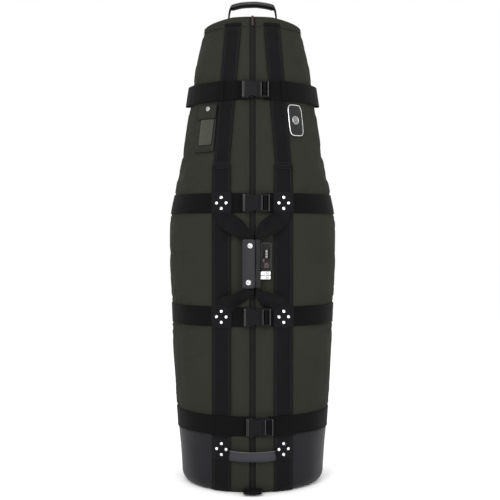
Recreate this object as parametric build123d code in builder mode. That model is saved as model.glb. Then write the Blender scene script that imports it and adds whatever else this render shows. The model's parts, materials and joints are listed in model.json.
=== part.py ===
from build123d import *
import os

# A soft golf travel bag that stands upright: a tall padded case with a full-length centre zipper.
# Millimetres. X to the viewer's right, Y to the back, Z up. The origin is on the floor, under the
# middle of the bag; the zipper side faces -Y.

# ---------------------------------------------------------------- driving dimensions
# Each station of the bag's outline: height, half width, depth in front of and behind the middle.
STATIONS = [
    (0, 186, 166, 148),
    (150, 197.5, 172, 150),
    (320, 208, 175, 150),
    (480, 215, 176.5, 150),
    (600, 219, 177, 150),
    (700, 218, 177, 150),
    (766, 205.5, 176, 149),
    (850, 187, 172, 146),
    (980, 168, 160, 138),
    (1100, 149, 140, 124),
    (1190, 129.5, 118, 108),
]
FLAT_BACK = 0.55            # part of the back's half width that is flat

BASE_GAP = 3                # the bag's underside stands on feet this tall
BOOT_TOP = 146
TRAY_TOP = 24
FLAP_BOTTOM = 148
FLAP_TOP = 1184
CAP_BOTTOM = 1186
CAP_HEIGHT = 20
CAP_FILLET = 13
SPLIT = 1                   # the front panels begin this far in front of the middle

WALL = 3                    # laminated fabric
LINING = (-6.0, -4.8)       # a layer is named by its inner and outer offset from the outline
REAR_LINING = (-10.8, -9.8)
PADDING = (-9.4, -3.4)
STIFFENER = (-5.6, -3.4)
TAPE = (-4.4, -3.2)
COIL = (-3.2, -0.8)
STRAP = (0.3, 1.8)
WEBBING = (2.1, 3.6)
PIPING = (1.8, 4.0)
RAIL = (0.3, 5.0)
WINDOW = (2.1, 3.0)
COVER = (3.4, 5.0)
PIPING_HEIGHT = 3.5

STRAP_HEIGHTS = [171, 446, 732, 1018]
STRAP_WIDTH = 50
BUCKLE_CENTRES = [18.5, 12, 9.5, 7.5]
WEBBING_INNER, WEBBING_OUTER = 54, 102
ZIP_EDGE = 8                # half of the gap between the two panel edges
TAPE_HALF = 16
COIL_HALF = 3.4

STRAP_END = 21              # how far each strap's end stops short of its buckle's middle

BUCKLE_HEIGHT, BUCKLE_DEPTH = 50, 12
PLATE = 2.5

SLIDER_UP, SLIDER_DOWN = 557, 543
PULL_LENGTH = 44
PULL_FACE = -188.5
LOCK_LEFT, LOCK_RIGHT, LOCK_LOW, LOCK_HIGH = 22, 47, 562, 632
LOCK_FACE = -184
DIAL_AXIS = (35, -180)
DIAL_HEIGHTS = [597, 604, 611]

GRIP_LOW, GRIP_HIGH = 516, 641
GRIP_BACK, GRIP_FRONT = -191, -203
HAUL_PIVOT = 58

WHEEL_X, WHEEL_Y, WHEEL_Z = 110, 122, 40
WHEEL_RADIUS, WHEEL_WIDTH = 37, 24
HUB_RADIUS = 22
BEARING_RADIUS, BEARING_WIDTH, AXLE_RADIUS = 11, 7, 4
HOUSING_FRONT, HOUSING_TOP = 72, 95

HANDLE_TOP, HANDLE_HALF, HANDLE_PIVOT = 1276, 62, 1214
BOTTOM_HANDLE_HALF = 57

os.makedirs("parts", exist_ok=True)


# ---------------------------------------------------------------- the bag's outline
def bag_form(offset):
    """The whole outline of the bag as one solid, grown by an offset."""
    with BuildPart() as form:
        for height, half_width, front, back in STATIONS:
            a, f, b = half_width + offset, front + offset, back + offset
            flat = FLAT_BACK * a
            with BuildSketch(Plane.XY.offset(height)):
                with BuildLine():
                    EllipticalCenterArc((0, 0), a, f, start_angle=180, arc_size=180)
                    EllipticalCenterArc((flat, 0), a - flat, b, start_angle=0, arc_size=90)
                    Line((flat, b), (-flat, b))
                    EllipticalCenterArc((-flat, 0), a - flat, b, start_angle=90, arc_size=90)
                make_face()
        loft()
    return form.part


OFFSETS = sorted({0, -WALL, *LINING, *REAR_LINING, *PADDING, *STIFFENER, *TAPE, *COIL, *STRAP, *WEBBING,
                  *PIPING, *RAIL, *WINDOW, *COVER})
FORM = {offset: bag_form(offset) for offset in OFFSETS}


def surface(x, z, offset=0):
    """The point and the outward normal of the bag's front at x and z, on one offset."""
    hits = FORM[offset].find_intersection_points(Axis((x, 0, z), (0, -1, 0)))
    point, normal = min(hits, key=lambda hit: hit[0].Y)
    return point, normal if normal.Y < 0 else normal * -1


def wall(inner, outer, points, start=SPLIT, depth=300, front=True):
    """The layer between two offsets, behind an outline in the XZ plane: the front or the back of the bag."""
    side = 1 if front else -1
    with BuildPart() as piece:
        with BuildSketch(Plane.XZ.offset(side * start)):
            with BuildLine():
                Polyline(*points, close=True)
            make_face()
        extrude(amount=side * depth)
        add(FORM[outer], mode=Mode.INTERSECT)
        add(FORM[inner], mode=Mode.SUBTRACT)
    return piece.part


def strip(left, right, low, high):
    """The corners of an upright rectangle."""
    return [(left, low), (right, low), (right, high), (left, high)]


def mirrored(part):
    return mirror(part, about=Plane.YZ)


def write(part, name):
    part.label = name
    export_step(part, f"parts/{name}.step")


# ---------------------------------------------------------------- rear shell, cap and boot
rear_wall = wall(-WALL, 0, strip(-300, 300, FLAP_BOTTOM, FLAP_TOP), start=0.5, front=False)
with BuildPart() as rear_shell:
    add(rear_wall)
write(rear_shell.part, "rear_shell")

rear_inner = wall(*REAR_LINING, strip(-300, 300, FLAP_BOTTOM + 2, FLAP_TOP - 2), start=0.5, front=False)
with BuildPart() as rear_lining:
    add(rear_inner)
write(rear_lining.part, "rear_lining")

pad_wall = wall(*PADDING, strip(-300, 300, 870, FLAP_TOP - 4), start=0.5, front=False)
with BuildPart() as club_head_padding:
    add(pad_wall)
write(club_head_padding.part, "club_head_padding")

sheet_wall = wall(*STIFFENER, strip(-98, 98, 155, 860), start=0.5, front=False)
with BuildPart() as back_stiffener:
    add(sheet_wall)
write(back_stiffener.part, "back_stiffener")


def cap_block(inset, height):
    """The domed block of the cap: the outline at the top of the bag, rounded over its upper edge."""
    _, half_width, front, back = STATIONS[-1]
    a, f, b = half_width + 1 - inset, front + 1 - inset, back + 1 - inset
    flat = FLAT_BACK * a
    with BuildPart() as block:
        with BuildSketch(Plane.XY.offset(CAP_BOTTOM)):
            with BuildLine():
                EllipticalCenterArc((0, 0), a, f, start_angle=180, arc_size=180)
                EllipticalCenterArc((flat, 0), a - flat, b, start_angle=0, arc_size=90)
                Line((flat, b), (-flat, b))
                EllipticalCenterArc((-flat, 0), a - flat, b, start_angle=90, arc_size=90)
            make_face()
        extrude(amount=height)
        fillet(block.faces().sort_by(Axis.Z)[-1].edges(), CAP_FILLET - inset)
    return block.part


cap_outer = cap_block(0, CAP_HEIGHT)
cap_inner = cap_block(WALL, CAP_HEIGHT - WALL)
with BuildPart() as top_cap:
    add(cap_outer)
    add(cap_inner, mode=Mode.SUBTRACT)
write(top_cap.part, "top_cap")

with BuildPart() as cap_piping:
    with Locations((0, 0, CAP_BOTTOM)):
        Box(400, 400, PIPING_HEIGHT)
    add(FORM[PIPING[1]], mode=Mode.INTERSECT)
    add(FORM[PIPING[0]], mode=Mode.SUBTRACT)
write(cap_piping.part, "cap_piping")

with BuildPart() as lower_boot:
    with Locations((0, 0, (BOOT_TOP + BASE_GAP + 1) / 2)):
        Box(500, 500, BOOT_TOP - BASE_GAP - 1)
    add(FORM[0], mode=Mode.INTERSECT)
    add(FORM[-WALL], mode=Mode.SUBTRACT)
    with Locations((0, -150, BOOT_TOP / 2)):
        Box(2 * WEBBING_INNER + 1, 300, BOOT_TOP + 10, mode=Mode.SUBTRACT)
    with Locations((0, HOUSING_FRONT + 149.5, HOUSING_TOP / 2)):
        Box(500, 300, HOUSING_TOP + 1, mode=Mode.SUBTRACT)
write(lower_boot.part, "lower_boot")

left_strip = wall(-WALL, 0, strip(-WEBBING_INNER, -ZIP_EDGE, BASE_GAP + 1, BOOT_TOP))
with BuildPart() as front_lower_panel:
    add(left_strip)
    add(mirrored(left_strip))
write(front_lower_panel.part, "front_lower_panel")

left_tape = wall(*TAPE, strip(-TAPE_HALF, -0.4, TRAY_TOP + 1, BOOT_TOP))
left_coil = wall(*COIL, strip(-COIL_HALF, -0.4, TRAY_TOP + 6, BOOT_TOP))
with BuildPart() as lower_zipper_tape:
    for half in (left_tape, left_coil):
        add(half)
        add(mirrored(half))
write(lower_zipper_tape.part, "lower_zipper_tape")


# ---------------------------------------------------------------- base tray, wheel housing and wheels
def foot(x, y, radius=14):
    """One round foot under the base."""
    with BuildPart() as pad:
        with Locations((x, y, BASE_GAP / 2)):
            Cylinder(radius, BASE_GAP)
    return pad.part


with BuildPart() as tray_room:
    with Locations((0, -62, 30)):
        Box(500, 260, 48)
    add(FORM[STIFFENER[0]], mode=Mode.INTERSECT)

tray_feet = [foot(side * x, y) for side in (-1, 1) for x, y in ((128, -70), (60, -122), (140, 50))]
centre_foot = foot(0, 0, radius=22)
with BuildPart() as base_tray:
    with Locations((0, HOUSING_FRONT - 151, (BASE_GAP + TRAY_TOP) / 2)):
        Box(500, 300, TRAY_TOP - BASE_GAP)
    add(FORM[STIFFENER[1]], mode=Mode.INTERSECT)
    add(tray_room.part, mode=Mode.SUBTRACT)
    add(tray_feet)
    add(centre_foot)
write(base_tray.part, "base_tray")

with BuildPart() as housing_room:
    with Locations((0, HOUSING_FRONT + 3 + 100, (6 + HOUSING_TOP - 3) / 2)):
        Box(500, 200, HOUSING_TOP - 9)
    add(FORM[COIL[0]], mode=Mode.INTERSECT)

with BuildPart() as housing_wells:
    with Locations((-WHEEL_X, 128, 45), (WHEEL_X, 128, 45)):
        Box(WHEEL_WIDTH + 8, 100, 84)
    add(FORM[STRAP[1]], mode=Mode.INTERSECT)

housing_feet = [foot(side * 62, 122) for side in (-1, 1)]
with BuildPart() as wheel_housing:
    with Locations((0, HOUSING_FRONT + 100, (BASE_GAP + HOUSING_TOP) / 2)):
        Box(500, 200, HOUSING_TOP - BASE_GAP)
    add(FORM[STRAP[1]], mode=Mode.INTERSECT)
    add(housing_room.part, mode=Mode.SUBTRACT)
    add(housing_wells.part)
    add(housing_feet)
    for side in (-1, 1):
        with Locations((side * WHEEL_X, 182, 35)):
            Box(WHEEL_WIDTH + 2, 200, 90, mode=Mode.SUBTRACT)
        with Locations((side * WHEEL_X, WHEEL_Y, WHEEL_Z)):
            Cylinder(AXLE_RADIUS + 0.1, 40, rotation=(0, 90, 0), mode=Mode.SUBTRACT)
write(wheel_housing.part, "wheel_housing")

with BuildPart() as wheel_axles:
    for side in (-1, 1):
        with Locations((side * WHEEL_X, WHEEL_Y, WHEEL_Z)):
            Cylinder(AXLE_RADIUS, 38, rotation=(0, 90, 0))
        with Locations((side * (WHEEL_X + 18), WHEEL_Y, WHEEL_Z)):
            Cylinder(7, 4, rotation=(0, 90, 0))
        with Locations((side * (WHEEL_X - 18), WHEEL_Y, WHEEL_Z)):
            Cylinder(6.5, 4, rotation=(0, 90, 0))
write(wheel_axles.part, "wheel_axles")

with BuildPart() as wheel_bearings:
    for side in (-1, 1):
        for shift in (-8.5, 8.5):
            with Locations((side * WHEEL_X + shift, WHEEL_Y, WHEEL_Z)):
                Cylinder(BEARING_RADIUS, BEARING_WIDTH, rotation=(0, 90, 0))
        with Locations((side * WHEEL_X, WHEEL_Y, WHEEL_Z)):
            Cylinder(AXLE_RADIUS + 1.5, 10, rotation=(0, 90, 0))
            Cylinder(AXLE_RADIUS + 0.05, 40, rotation=(0, 90, 0), mode=Mode.SUBTRACT)
write(wheel_bearings.part, "wheel_bearings")

for side, name in ((-1, "left"), (1, "right")):
    with BuildPart() as tyre:
        with Locations((side * WHEEL_X, WHEEL_Y, WHEEL_Z)):
            Cylinder(WHEEL_RADIUS, WHEEL_WIDTH, rotation=(0, 90, 0))
        fillet(tyre.edges().filter_by(GeomType.CIRCLE), 9)
        with Locations((side * WHEEL_X, WHEEL_Y, WHEEL_Z)):
            Cylinder(HUB_RADIUS, 40, rotation=(0, 90, 0), mode=Mode.SUBTRACT)
    write(tyre.part, f"{name}_wheel_tyre")

    with BuildPart() as hub:
        with BuildSketch(Plane.YZ.offset(side * WHEEL_X - 11)):
            with Locations((WHEEL_Y, WHEEL_Z)):
                Circle(HUB_RADIUS)
                Circle(BEARING_RADIUS + 0.05, mode=Mode.SUBTRACT)
                with PolarLocations(16.5, 5):
                    Circle(3.5, mode=Mode.SUBTRACT)
        extrude(amount=22)
    write(hub.part, f"{name}_wheel_hub")


# ---------------------------------------------------------------- rails and strap runs on the back
rails = [wall(*RAIL, strip(x - 7, x + 7, low, high), front=False)
         for x in (-68, 0, 68) for low, high in ((202, 415), (477, 700))]
with BuildPart() as skid_rails:
    add(rails)
write(skid_rails.part, "skid_rails")

rear_runs = [wall(*STRAP, strip(-300, 300, z - STRAP_WIDTH / 2, z + STRAP_WIDTH / 2), front=False)
             for z in STRAP_HEIGHTS]
with BuildPart() as rear_straps:
    add(rear_runs)
write(rear_straps.part, "rear_straps")


# ---------------------------------------------------------------- webbing
def front_webbing(side):
    """The upright webbing of one side: straight below the shoulder, leaning inwards above it."""
    lower = strip(WEBBING_INNER, WEBBING_OUTER, FLAP_BOTTOM, 826)
    upper = [(57, 827), (99, 827), (76, 1120), (71, FLAP_TOP), (29, FLAP_TOP), (34, 1120)]
    return [wall(*WEBBING, [(side * x, z) for x, z in run]) for run in (lower, upper)]


def folded_tab():
    """A folded end of webbing that stands out at the bottom of the zipper."""
    with BuildPart() as tab:
        with BuildSketch(Plane.YZ.offset(-24)):
            with Locations((-178, 15)):
                SlotOverall(44, 9)
                SlotOverall(40, 5, mode=Mode.SUBTRACT)
        extrude(amount=48)
        add(FORM[STRAP[0]], mode=Mode.SUBTRACT)
    return tab.part


low_run = wall(*WEBBING, strip(-WEBBING_OUTER, -WEBBING_INNER, BASE_GAP + 1, BOOT_TOP))
bottom_fold = folded_tab()
with BuildPart() as lower_webbing:
    add(low_run)
    add(mirrored(low_run))
    add(bottom_fold)
write(lower_webbing.part, "lower_webbing")


# ---------------------------------------------------------------- rivets
def rivets(x, z):
    """Four rivet heads in a diamond, on the webbing."""
    heads = []
    for dx, dz in ((-12, 0), (12, 0), (0, 13.8), (0, -13.8)):
        point, normal = surface(x + dx, z + dz, WEBBING[1])
        with BuildPart() as head:
            with BuildSketch(Plane(origin=point + normal * 0.15, z_dir=normal)):
                Circle(4.5)
            extrude(amount=2)
            fillet(head.edges().filter_by(GeomType.CIRCLE).sort_by(Axis.Y)[0], 1.2)
        heads.append(head.part)
    return heads


bottom_heads = rivets(-78, 112) + rivets(78, 112)
with BuildPart() as bottom_rivets:
    add(bottom_heads)
write(bottom_rivets.part, "bottom_rivets")


# ---------------------------------------------------------------- front panels with what is sewn to them
def side_strip(side, inner_x, outer_x, low, high):
    """An upright rectangle on the left (side -1) or the right (side 1)."""
    return strip(*sorted((side * inner_x, side * outer_x)), low, high)


for side, name in ((-1, "left"), (1, "right")):
    panel = wall(-WALL, 0, side_strip(side, ZIP_EDGE, 300, FLAP_BOTTOM, FLAP_TOP))
    with BuildPart() as front_panel:
        add(panel)
    write(front_panel.part, f"{name}_front_panel")

    inner = wall(*LINING, side_strip(side, ZIP_EDGE + 10, 300, FLAP_BOTTOM + 2, FLAP_TOP - 2))
    with BuildPart() as lining:
        add(inner)
    write(lining.part, f"{name}_front_lining")

    runs = front_webbing(side)
    with BuildPart() as webbing:
        add(runs)
    write(webbing.part, f"{name}_webbing")

    bands = [wall(*STRAP, strip(*sorted((centre + side * STRAP_END, side * 300)),
                                z - STRAP_WIDTH / 2, z + STRAP_WIDTH / 2))
             for centre, z in zip(BUCKLE_CENTRES, STRAP_HEIGHTS)]
    with BuildPart() as straps:
        add(bands)
    write(straps.part, f"{name}_straps")

    tape = wall(*TAPE, side_strip(side, 0.4, TAPE_HALF, FLAP_BOTTOM, FLAP_TOP))
    coil = wall(*COIL, side_strip(side, 0.4, COIL_HALF, FLAP_BOTTOM, FLAP_TOP))
    with BuildPart() as zipper:
        add(tape)
        add(coil)
    write(zipper.part, f"{name}_zipper_tape")

    heads = rivets(side * 78, STRAP_HEIGHTS[1]) + rivets(side * 78, STRAP_HEIGHTS[2])
    with BuildPart() as rivet_heads:
        add(heads)
    write(rivet_heads.part, f"{name}_rivets")


# ---------------------------------------------------------------- side-release buckles
def buckle_plane(centre, z):
    """The plane that a buckle lies on: X across the bag, Z out of its front, leaning with the taper."""
    point, normal = surface(0, z, STRAP[1])
    return Plane(origin=(centre, point.Y + 0.6 * normal.Y, z), x_dir=(1, 0, 0), z_dir=(0, normal.Y, normal.Z))


def buckle_socket(centre, z):
    """Two plates with an end wall and two guide ribs; the sides are open for the plug's arms."""
    plane = buckle_plane(centre, z)
    with BuildPart(plane) as socket:
        with Locations((-14, 0, PLATE / 2), (-14, 0, BUCKLE_DEPTH - PLATE / 2)):
            Box(40, BUCKLE_HEIGHT, PLATE)
        fillet(socket.edges().filter_by(Axis((0, 0, 0), plane.z_dir)), 5)
        with Locations((-30, 0, BUCKLE_DEPTH / 2)):
            Box(8, BUCKLE_HEIGHT - 8, BUCKLE_DEPTH - 1)
        with Locations((-10, -9, BUCKLE_DEPTH / 2), (-10, 9, BUCKLE_DEPTH / 2)):
            Box(32, 3, BUCKLE_DEPTH - 1)
        with Locations((-8, -31, 0), (-8, 31, 0)):
            Cylinder(13, 3 * BUCKLE_DEPTH, mode=Mode.SUBTRACT)
    return socket.part


def buckle_plug(centre, z):
    """A base with two ladder slots, a centre tongue and two arms with hooked tips."""
    plane = buckle_plane(centre, z)
    middle = BUCKLE_DEPTH / 2
    with BuildPart(plane) as plug:
        with Locations((20.5, 0, middle)):
            Box(27, 46, 9)
        fillet(plug.edges().filter_by(Axis((0, 0, 0), plane.z_dir)), 4)
        with Locations((18, 0, middle), (27, 0, middle)):
            Box(4, 36, 20, mode=Mode.SUBTRACT)
        with Locations((-7, 0, middle), (-7, -16, middle), (-7, 16, middle)):
            Box(30, 7, 6)
        with Locations((-14, -20, middle), (-14, 20, middle)):
            Box(16, 5, 6)
    return plug.part


sockets = [buckle_socket(centre, z) for centre, z in zip(BUCKLE_CENTRES, STRAP_HEIGHTS)]
with BuildPart() as buckle_sockets:
    add(sockets)
write(buckle_sockets.part, "buckle_sockets")

for number, (centre, z) in enumerate(zip(BUCKLE_CENTRES, STRAP_HEIGHTS), start=1):
    write(buckle_plug(centre, z), f"buckle_plug_{number}")


# ---------------------------------------------------------------- ID pocket and badge
def leaning(x, z, width, height, lean):
    """The corners of a patch whose sides lean with the bag's taper."""
    return [(x - width / 2 - lean, z - height / 2), (x + width / 2 - lean, z - height / 2),
            (x + width / 2 + lean, z + height / 2), (x - width / 2 + lean, z + height / 2)]


pocket_body = wall(*STRAP, leaning(-120, 922, 52, 118, 5))
with BuildPart() as id_pocket:
    add(pocket_body)
write(id_pocket.part, "id_pocket")

window_sheet = wall(*WINDOW, leaning(-118, 915, 38, 74, 4))
with BuildPart() as id_window:
    add(window_sheet)
write(id_window.part, "id_window")

cover = wall(*COVER, leaning(-117, 966, 48, 36, 2))
with BuildPart() as id_flap:
    add(cover)
write(id_flap.part, "id_flap")

plate_wall = wall(*STRAP, leaning(110, 944, 28, 72, -3.5))
rim_wall = wall(STRAP[0], WEBBING[1], leaning(110, 944, 35, 79, -3.8))
with BuildPart() as badge:
    add(plate_wall)
    add(rim_wall)
write(badge.part, "badge")


# ---------------------------------------------------------------- combination lock
with BuildPart() as lock_body:
    with Locations(((LOCK_LEFT + LOCK_RIGHT) / 2, (LOCK_FACE - 160) / 2, (LOCK_LOW + LOCK_HIGH) / 2)):
        Box(LOCK_RIGHT - LOCK_LEFT, -160 - LOCK_FACE, LOCK_HIGH - LOCK_LOW)
    fillet(lock_body.edges().filter_by(Axis.Y), 4)
    add(FORM[STRAP[0]], mode=Mode.SUBTRACT)
    for height in DIAL_HEIGHTS:
        with Locations((DIAL_AXIS[0], DIAL_AXIS[1], height)):
            Box(10.6, 10.6, 6.2, mode=Mode.SUBTRACT)
    with Locations((27.5, LOCK_FACE + 1.5, 588)):
        Box(5.6, 5, 9.6, mode=Mode.SUBTRACT)
    with Locations((34.5, LOCK_FACE, 575)):
        Cylinder(5.05, 13, rotation=(90, 0, 0), mode=Mode.SUBTRACT)
    with Locations((DIAL_AXIS[0], DIAL_AXIS[1], 604)):
        Cylinder(1, 24)
write(lock_body.part, "lock_body")

for number, height in enumerate(DIAL_HEIGHTS, start=1):
    with BuildPart() as dial:
        with BuildSketch(Plane.XY.offset(height - 2.8)):
            with Locations(DIAL_AXIS):
                Circle(4.7)
                Circle(1.06, mode=Mode.SUBTRACT)
                with PolarLocations(4.9, 10):
                    Circle(0.5, mode=Mode.SUBTRACT)
        extrude(amount=5.6)
    write(dial.part, f"lock_dial_{number}")

with BuildPart() as lock_button:
    with Locations((27.5, LOCK_FACE - 0.2, 588)):
        Box(5, 3.4, 9)
    fillet(lock_button.edges().filter_by(Axis.Y), 1)
write(lock_button.part, "lock_button")

with BuildPart() as key_cylinder:
    with Locations((34.5, LOCK_FACE + 2.7, 575)):
        Cylinder(5, 6.6, rotation=(90, 0, 0))
    with Locations((34.5, LOCK_FACE, 575)):
        Box(1.2, 4, 6, mode=Mode.SUBTRACT)
write(key_cylinder.part, "key_cylinder")


# ---------------------------------------------------------------- zipper sliders and pulls
for name, z in (("upper", SLIDER_UP), ("lower", SLIDER_DOWN)):
    y = surface(0, z)[0].Y
    with BuildPart() as slider:
        with BuildSketch(Plane.XZ.offset(-y + 1)):
            with Locations((0, z)):
                RectangleRounded(11, 13, 3)
        extrude(amount=3)
        with BuildSketch(Plane.XZ.offset(-y + 4)):
            with Locations((0, z)):
                Circle(1.6)
        extrude(amount=-PULL_FACE + y - 3.5)
    write(slider.part, f"{name}_slider")

    with BuildPart() as pull:
        with BuildSketch(Plane.XZ.offset(-PULL_FACE - 2)):
            with Locations((PULL_LENGTH / 2 - 2.5, z)):
                RectangleRounded(PULL_LENGTH + 5, 10, 4)
            with Locations((0, z), (PULL_LENGTH - 5, z)):
                Circle(1.8, mode=Mode.SUBTRACT)
        extrude(amount=2)
    write(pull.part, f"{name}_pull")


# ---------------------------------------------------------------- haul handles and leather grips
def haul_webbing(side, inner_edge, middle_edge):
    """One haul handle: webbing that comes off the side, runs in to the grip and back out again."""
    band = [(HAUL_PIVOT - 0.5, -177), (34, -194), (inner_edge, -194), (inner_edge, -196.5), (33, -196.5),
            (HAUL_PIVOT - 0.5, -179.8)]
    shape = [(HAUL_PIVOT, 706), (inner_edge, 660), (inner_edge, 497), (HAUL_PIVOT, 474), (HAUL_PIVOT, 512),
             (middle_edge, GRIP_LOW - 2), (middle_edge, GRIP_HIGH + 2), (HAUL_PIVOT, 668)]
    with BuildPart() as handle:
        with BuildSketch(Plane.XY.offset(440)):
            with BuildLine():
                Polyline(*[(side * x, y) for x, y in band], close=True)
            make_face()
        extrude(amount=300)
        with BuildSketch(Plane.XZ.offset(100)):
            with BuildLine():
                Polyline(*[(side * x, z) for x, z in shape], close=True)
            make_face()
        extrude(amount=150, mode=Mode.INTERSECT)
    return handle.part


def grip_wrap(left, right):
    """A leather sleeve round the upright run of a haul handle."""
    with BuildPart() as grip:
        with Locations(((left + right) / 2, (GRIP_BACK + GRIP_FRONT) / 2, (GRIP_LOW + GRIP_HIGH) / 2)):
            Box(right - left, GRIP_BACK - GRIP_FRONT, GRIP_HIGH - GRIP_LOW)
        fillet(grip.edges().filter_by(Axis.Z), 4)
        with Locations(((left + right) / 2, -195.25, (GRIP_LOW + GRIP_HIGH) / 2)):
            Box(60, 3.1, 200, mode=Mode.SUBTRACT)
        with Locations((left + 0.5, -195.25, (GRIP_LOW + GRIP_HIGH) / 2),
                       (right - 0.5, -195.25, (GRIP_LOW + GRIP_HIGH) / 2)):
            Box(1, 3.4, GRIP_HIGH - GRIP_LOW)
    return grip.part


write(haul_webbing(-1, -3.6, 23), "left_haul_handle")
write(haul_webbing(1, 8.6, 18.9), "right_haul_handle")
write(grip_wrap(-24.5, 5), "left_grip_wrap")
write(grip_wrap(7.2, 20.3), "right_grip_wrap")

with BuildPart() as grip_snap_flap:
    with BuildSketch(Plane.XZ.offset(-GRIP_FRONT + 0.3)):
        with Locations((-9.5, (GRIP_LOW + GRIP_HIGH) / 2)):
            RectangleRounded(30, GRIP_HIGH - GRIP_LOW - 2, 4)
    extrude(amount=1.8)
    with Locations((-6, GRIP_FRONT - 3, 625), (-10, GRIP_FRONT - 3, 534)):
        Cylinder(8, 1.8, rotation=(90, 0, 0))
write(grip_snap_flap.part, "grip_snap_flap")


# ---------------------------------------------------------------- top handle and bottom handle
with BuildPart() as top_handle:
    with BuildSketch(Plane.XZ.offset(-15)):
        with BuildLine():
            outer_end, inner_end = (HANDLE_HALF + 4, HANDLE_PIVOT), (HANDLE_HALF - 4, HANDLE_PIVOT)
            outer_top, inner_top = (HANDLE_HALF - 3, HANDLE_TOP - 12), (HANDLE_HALF - 11, HANDLE_TOP - 21)
            Line((-outer_end[0], outer_end[1]), (-outer_top[0], outer_top[1]))
            ThreePointArc((-outer_top[0], outer_top[1]), (0, HANDLE_TOP), outer_top)
            Line(outer_top, outer_end)
            Line(outer_end, inner_end)
            Line(inner_end, inner_top)
            ThreePointArc(inner_top, (0, HANDLE_TOP - 12), (-inner_top[0], inner_top[1]))
            Line((-inner_top[0], inner_top[1]), (-inner_end[0], inner_end[1]))
            Line((-inner_end[0], inner_end[1]), (-outer_end[0], outer_end[1]))
        make_face()
    extrude(amount=30)
    with BuildSketch(Plane.YZ.offset(-100)):
        with BuildLine():
            Polyline((-3.5, HANDLE_PIVOT), (-15, HANDLE_PIVOT + 24), (-15, HANDLE_TOP + 5),
                     (15, HANDLE_TOP + 5), (15, HANDLE_PIVOT + 24), (3.5, HANDLE_PIVOT), close=True)
        make_face()
    extrude(amount=200, mode=Mode.INTERSECT)
    with Locations((-HANDLE_HALF, 0, HANDLE_PIVOT), (HANDLE_HALF, 0, HANDLE_PIVOT)):
        Cylinder(3.5, 8, rotation=(0, 90, 0))
write(top_handle.part, "top_handle")

with BuildPart() as bottom_handle:
    with BuildSketch(Plane.XY.offset(80)):
        with BuildLine():
            ThreePointArc((-BOTTOM_HANDLE_HALF, -179), (0, -187), (BOTTOM_HANDLE_HALF, -179))
            Line((BOTTOM_HANDLE_HALF, -179), (BOTTOM_HANDLE_HALF, -176))
            ThreePointArc((BOTTOM_HANDLE_HALF, -176), (0, -184), (-BOTTOM_HANDLE_HALF, -176))
            Line((-BOTTOM_HANDLE_HALF, -176), (-BOTTOM_HANDLE_HALF, -179))
        make_face()
    extrude(amount=40)
    with BuildSketch(Plane.XZ.offset(150)):
        with BuildLine():
            Polyline((-BOTTOM_HANDLE_HALF, 109), (BOTTOM_HANDLE_HALF, 109), (BOTTOM_HANDLE_HALF, 88),
                     (0, 84), (-BOTTOM_HANDLE_HALF, 88), close=True)
        make_face()
    extrude(amount=60, mode=Mode.INTERSECT)
write(bottom_handle.part, "bottom_handle")

handle_tabs = []
for side in (-1, 1):
    with BuildPart() as tab:
        with Locations((side * (BOTTOM_HANDLE_HALF + 2.4), -171, 108)):
            Box(3.4, 20, 14)
        add(FORM[PIPING[1]], mode=Mode.SUBTRACT)
    handle_tabs.append(tab.part)
with BuildPart() as handle_anchors:
    with Locations(*[(side * HANDLE_HALF, 0, CAP_BOTTOM + CAP_HEIGHT + 2) for side in (-1, 1)]):
        Box(22, 20, 4)
    add(handle_tabs)
write(handle_anchors.part, "handle_anchors")
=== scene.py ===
import bpy
import bmesh
import json
import math
import random
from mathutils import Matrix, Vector, noise

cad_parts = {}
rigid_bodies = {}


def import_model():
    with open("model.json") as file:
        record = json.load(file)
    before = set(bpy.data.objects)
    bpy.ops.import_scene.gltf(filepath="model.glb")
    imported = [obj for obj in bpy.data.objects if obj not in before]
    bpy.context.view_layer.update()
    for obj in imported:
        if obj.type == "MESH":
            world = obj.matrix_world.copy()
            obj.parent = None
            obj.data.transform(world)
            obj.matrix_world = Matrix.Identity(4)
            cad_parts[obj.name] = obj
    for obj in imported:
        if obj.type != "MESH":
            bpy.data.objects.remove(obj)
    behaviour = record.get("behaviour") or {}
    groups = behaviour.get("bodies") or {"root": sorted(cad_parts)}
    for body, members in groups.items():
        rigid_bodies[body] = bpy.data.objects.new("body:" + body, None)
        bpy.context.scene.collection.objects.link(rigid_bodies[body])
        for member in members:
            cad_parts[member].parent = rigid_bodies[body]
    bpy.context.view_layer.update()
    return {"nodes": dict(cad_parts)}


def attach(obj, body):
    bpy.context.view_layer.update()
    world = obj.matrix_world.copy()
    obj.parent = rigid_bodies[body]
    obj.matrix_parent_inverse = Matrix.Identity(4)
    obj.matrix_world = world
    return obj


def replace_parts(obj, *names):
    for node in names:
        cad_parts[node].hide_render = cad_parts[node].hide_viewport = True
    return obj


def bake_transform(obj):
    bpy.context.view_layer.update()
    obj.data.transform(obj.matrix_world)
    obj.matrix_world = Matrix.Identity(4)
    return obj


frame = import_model()
NODES = frame["nodes"]

# ------------------------------------------------------------------ dimensions, in metres
# The bag's outline at each height: height, half width, depth in front of and behind the middle.
STATIONS = [
    (0.0, 0.186, 0.166, 0.148), (0.150, 0.1975, 0.172, 0.150), (0.320, 0.208, 0.175, 0.150),
    (0.480, 0.215, 0.1765, 0.150), (0.600, 0.219, 0.177, 0.150), (0.700, 0.218, 0.177, 0.150),
    (0.766, 0.2055, 0.176, 0.149), (0.850, 0.187, 0.172, 0.146), (0.980, 0.168, 0.160, 0.138),
    (1.100, 0.149, 0.140, 0.124), (1.190, 0.1295, 0.118, 0.108),
]
FLAT_BACK = 0.55
MM = 0.001
STRAP_Z = [0.171, 0.446, 0.732, 1.018]
STRAP_HALF = 0.025
BUCKLE_X = [0.0185, 0.012, 0.0095, 0.0075]
SEAM_LOW, SEAM_HIGH = 0.147, 1.185
ZIP_EDGE = 0.008
WEB_IN, WEB_OUT = 0.054, 0.102
SIDES = ((-1, "left"), (1, "right"))
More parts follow.
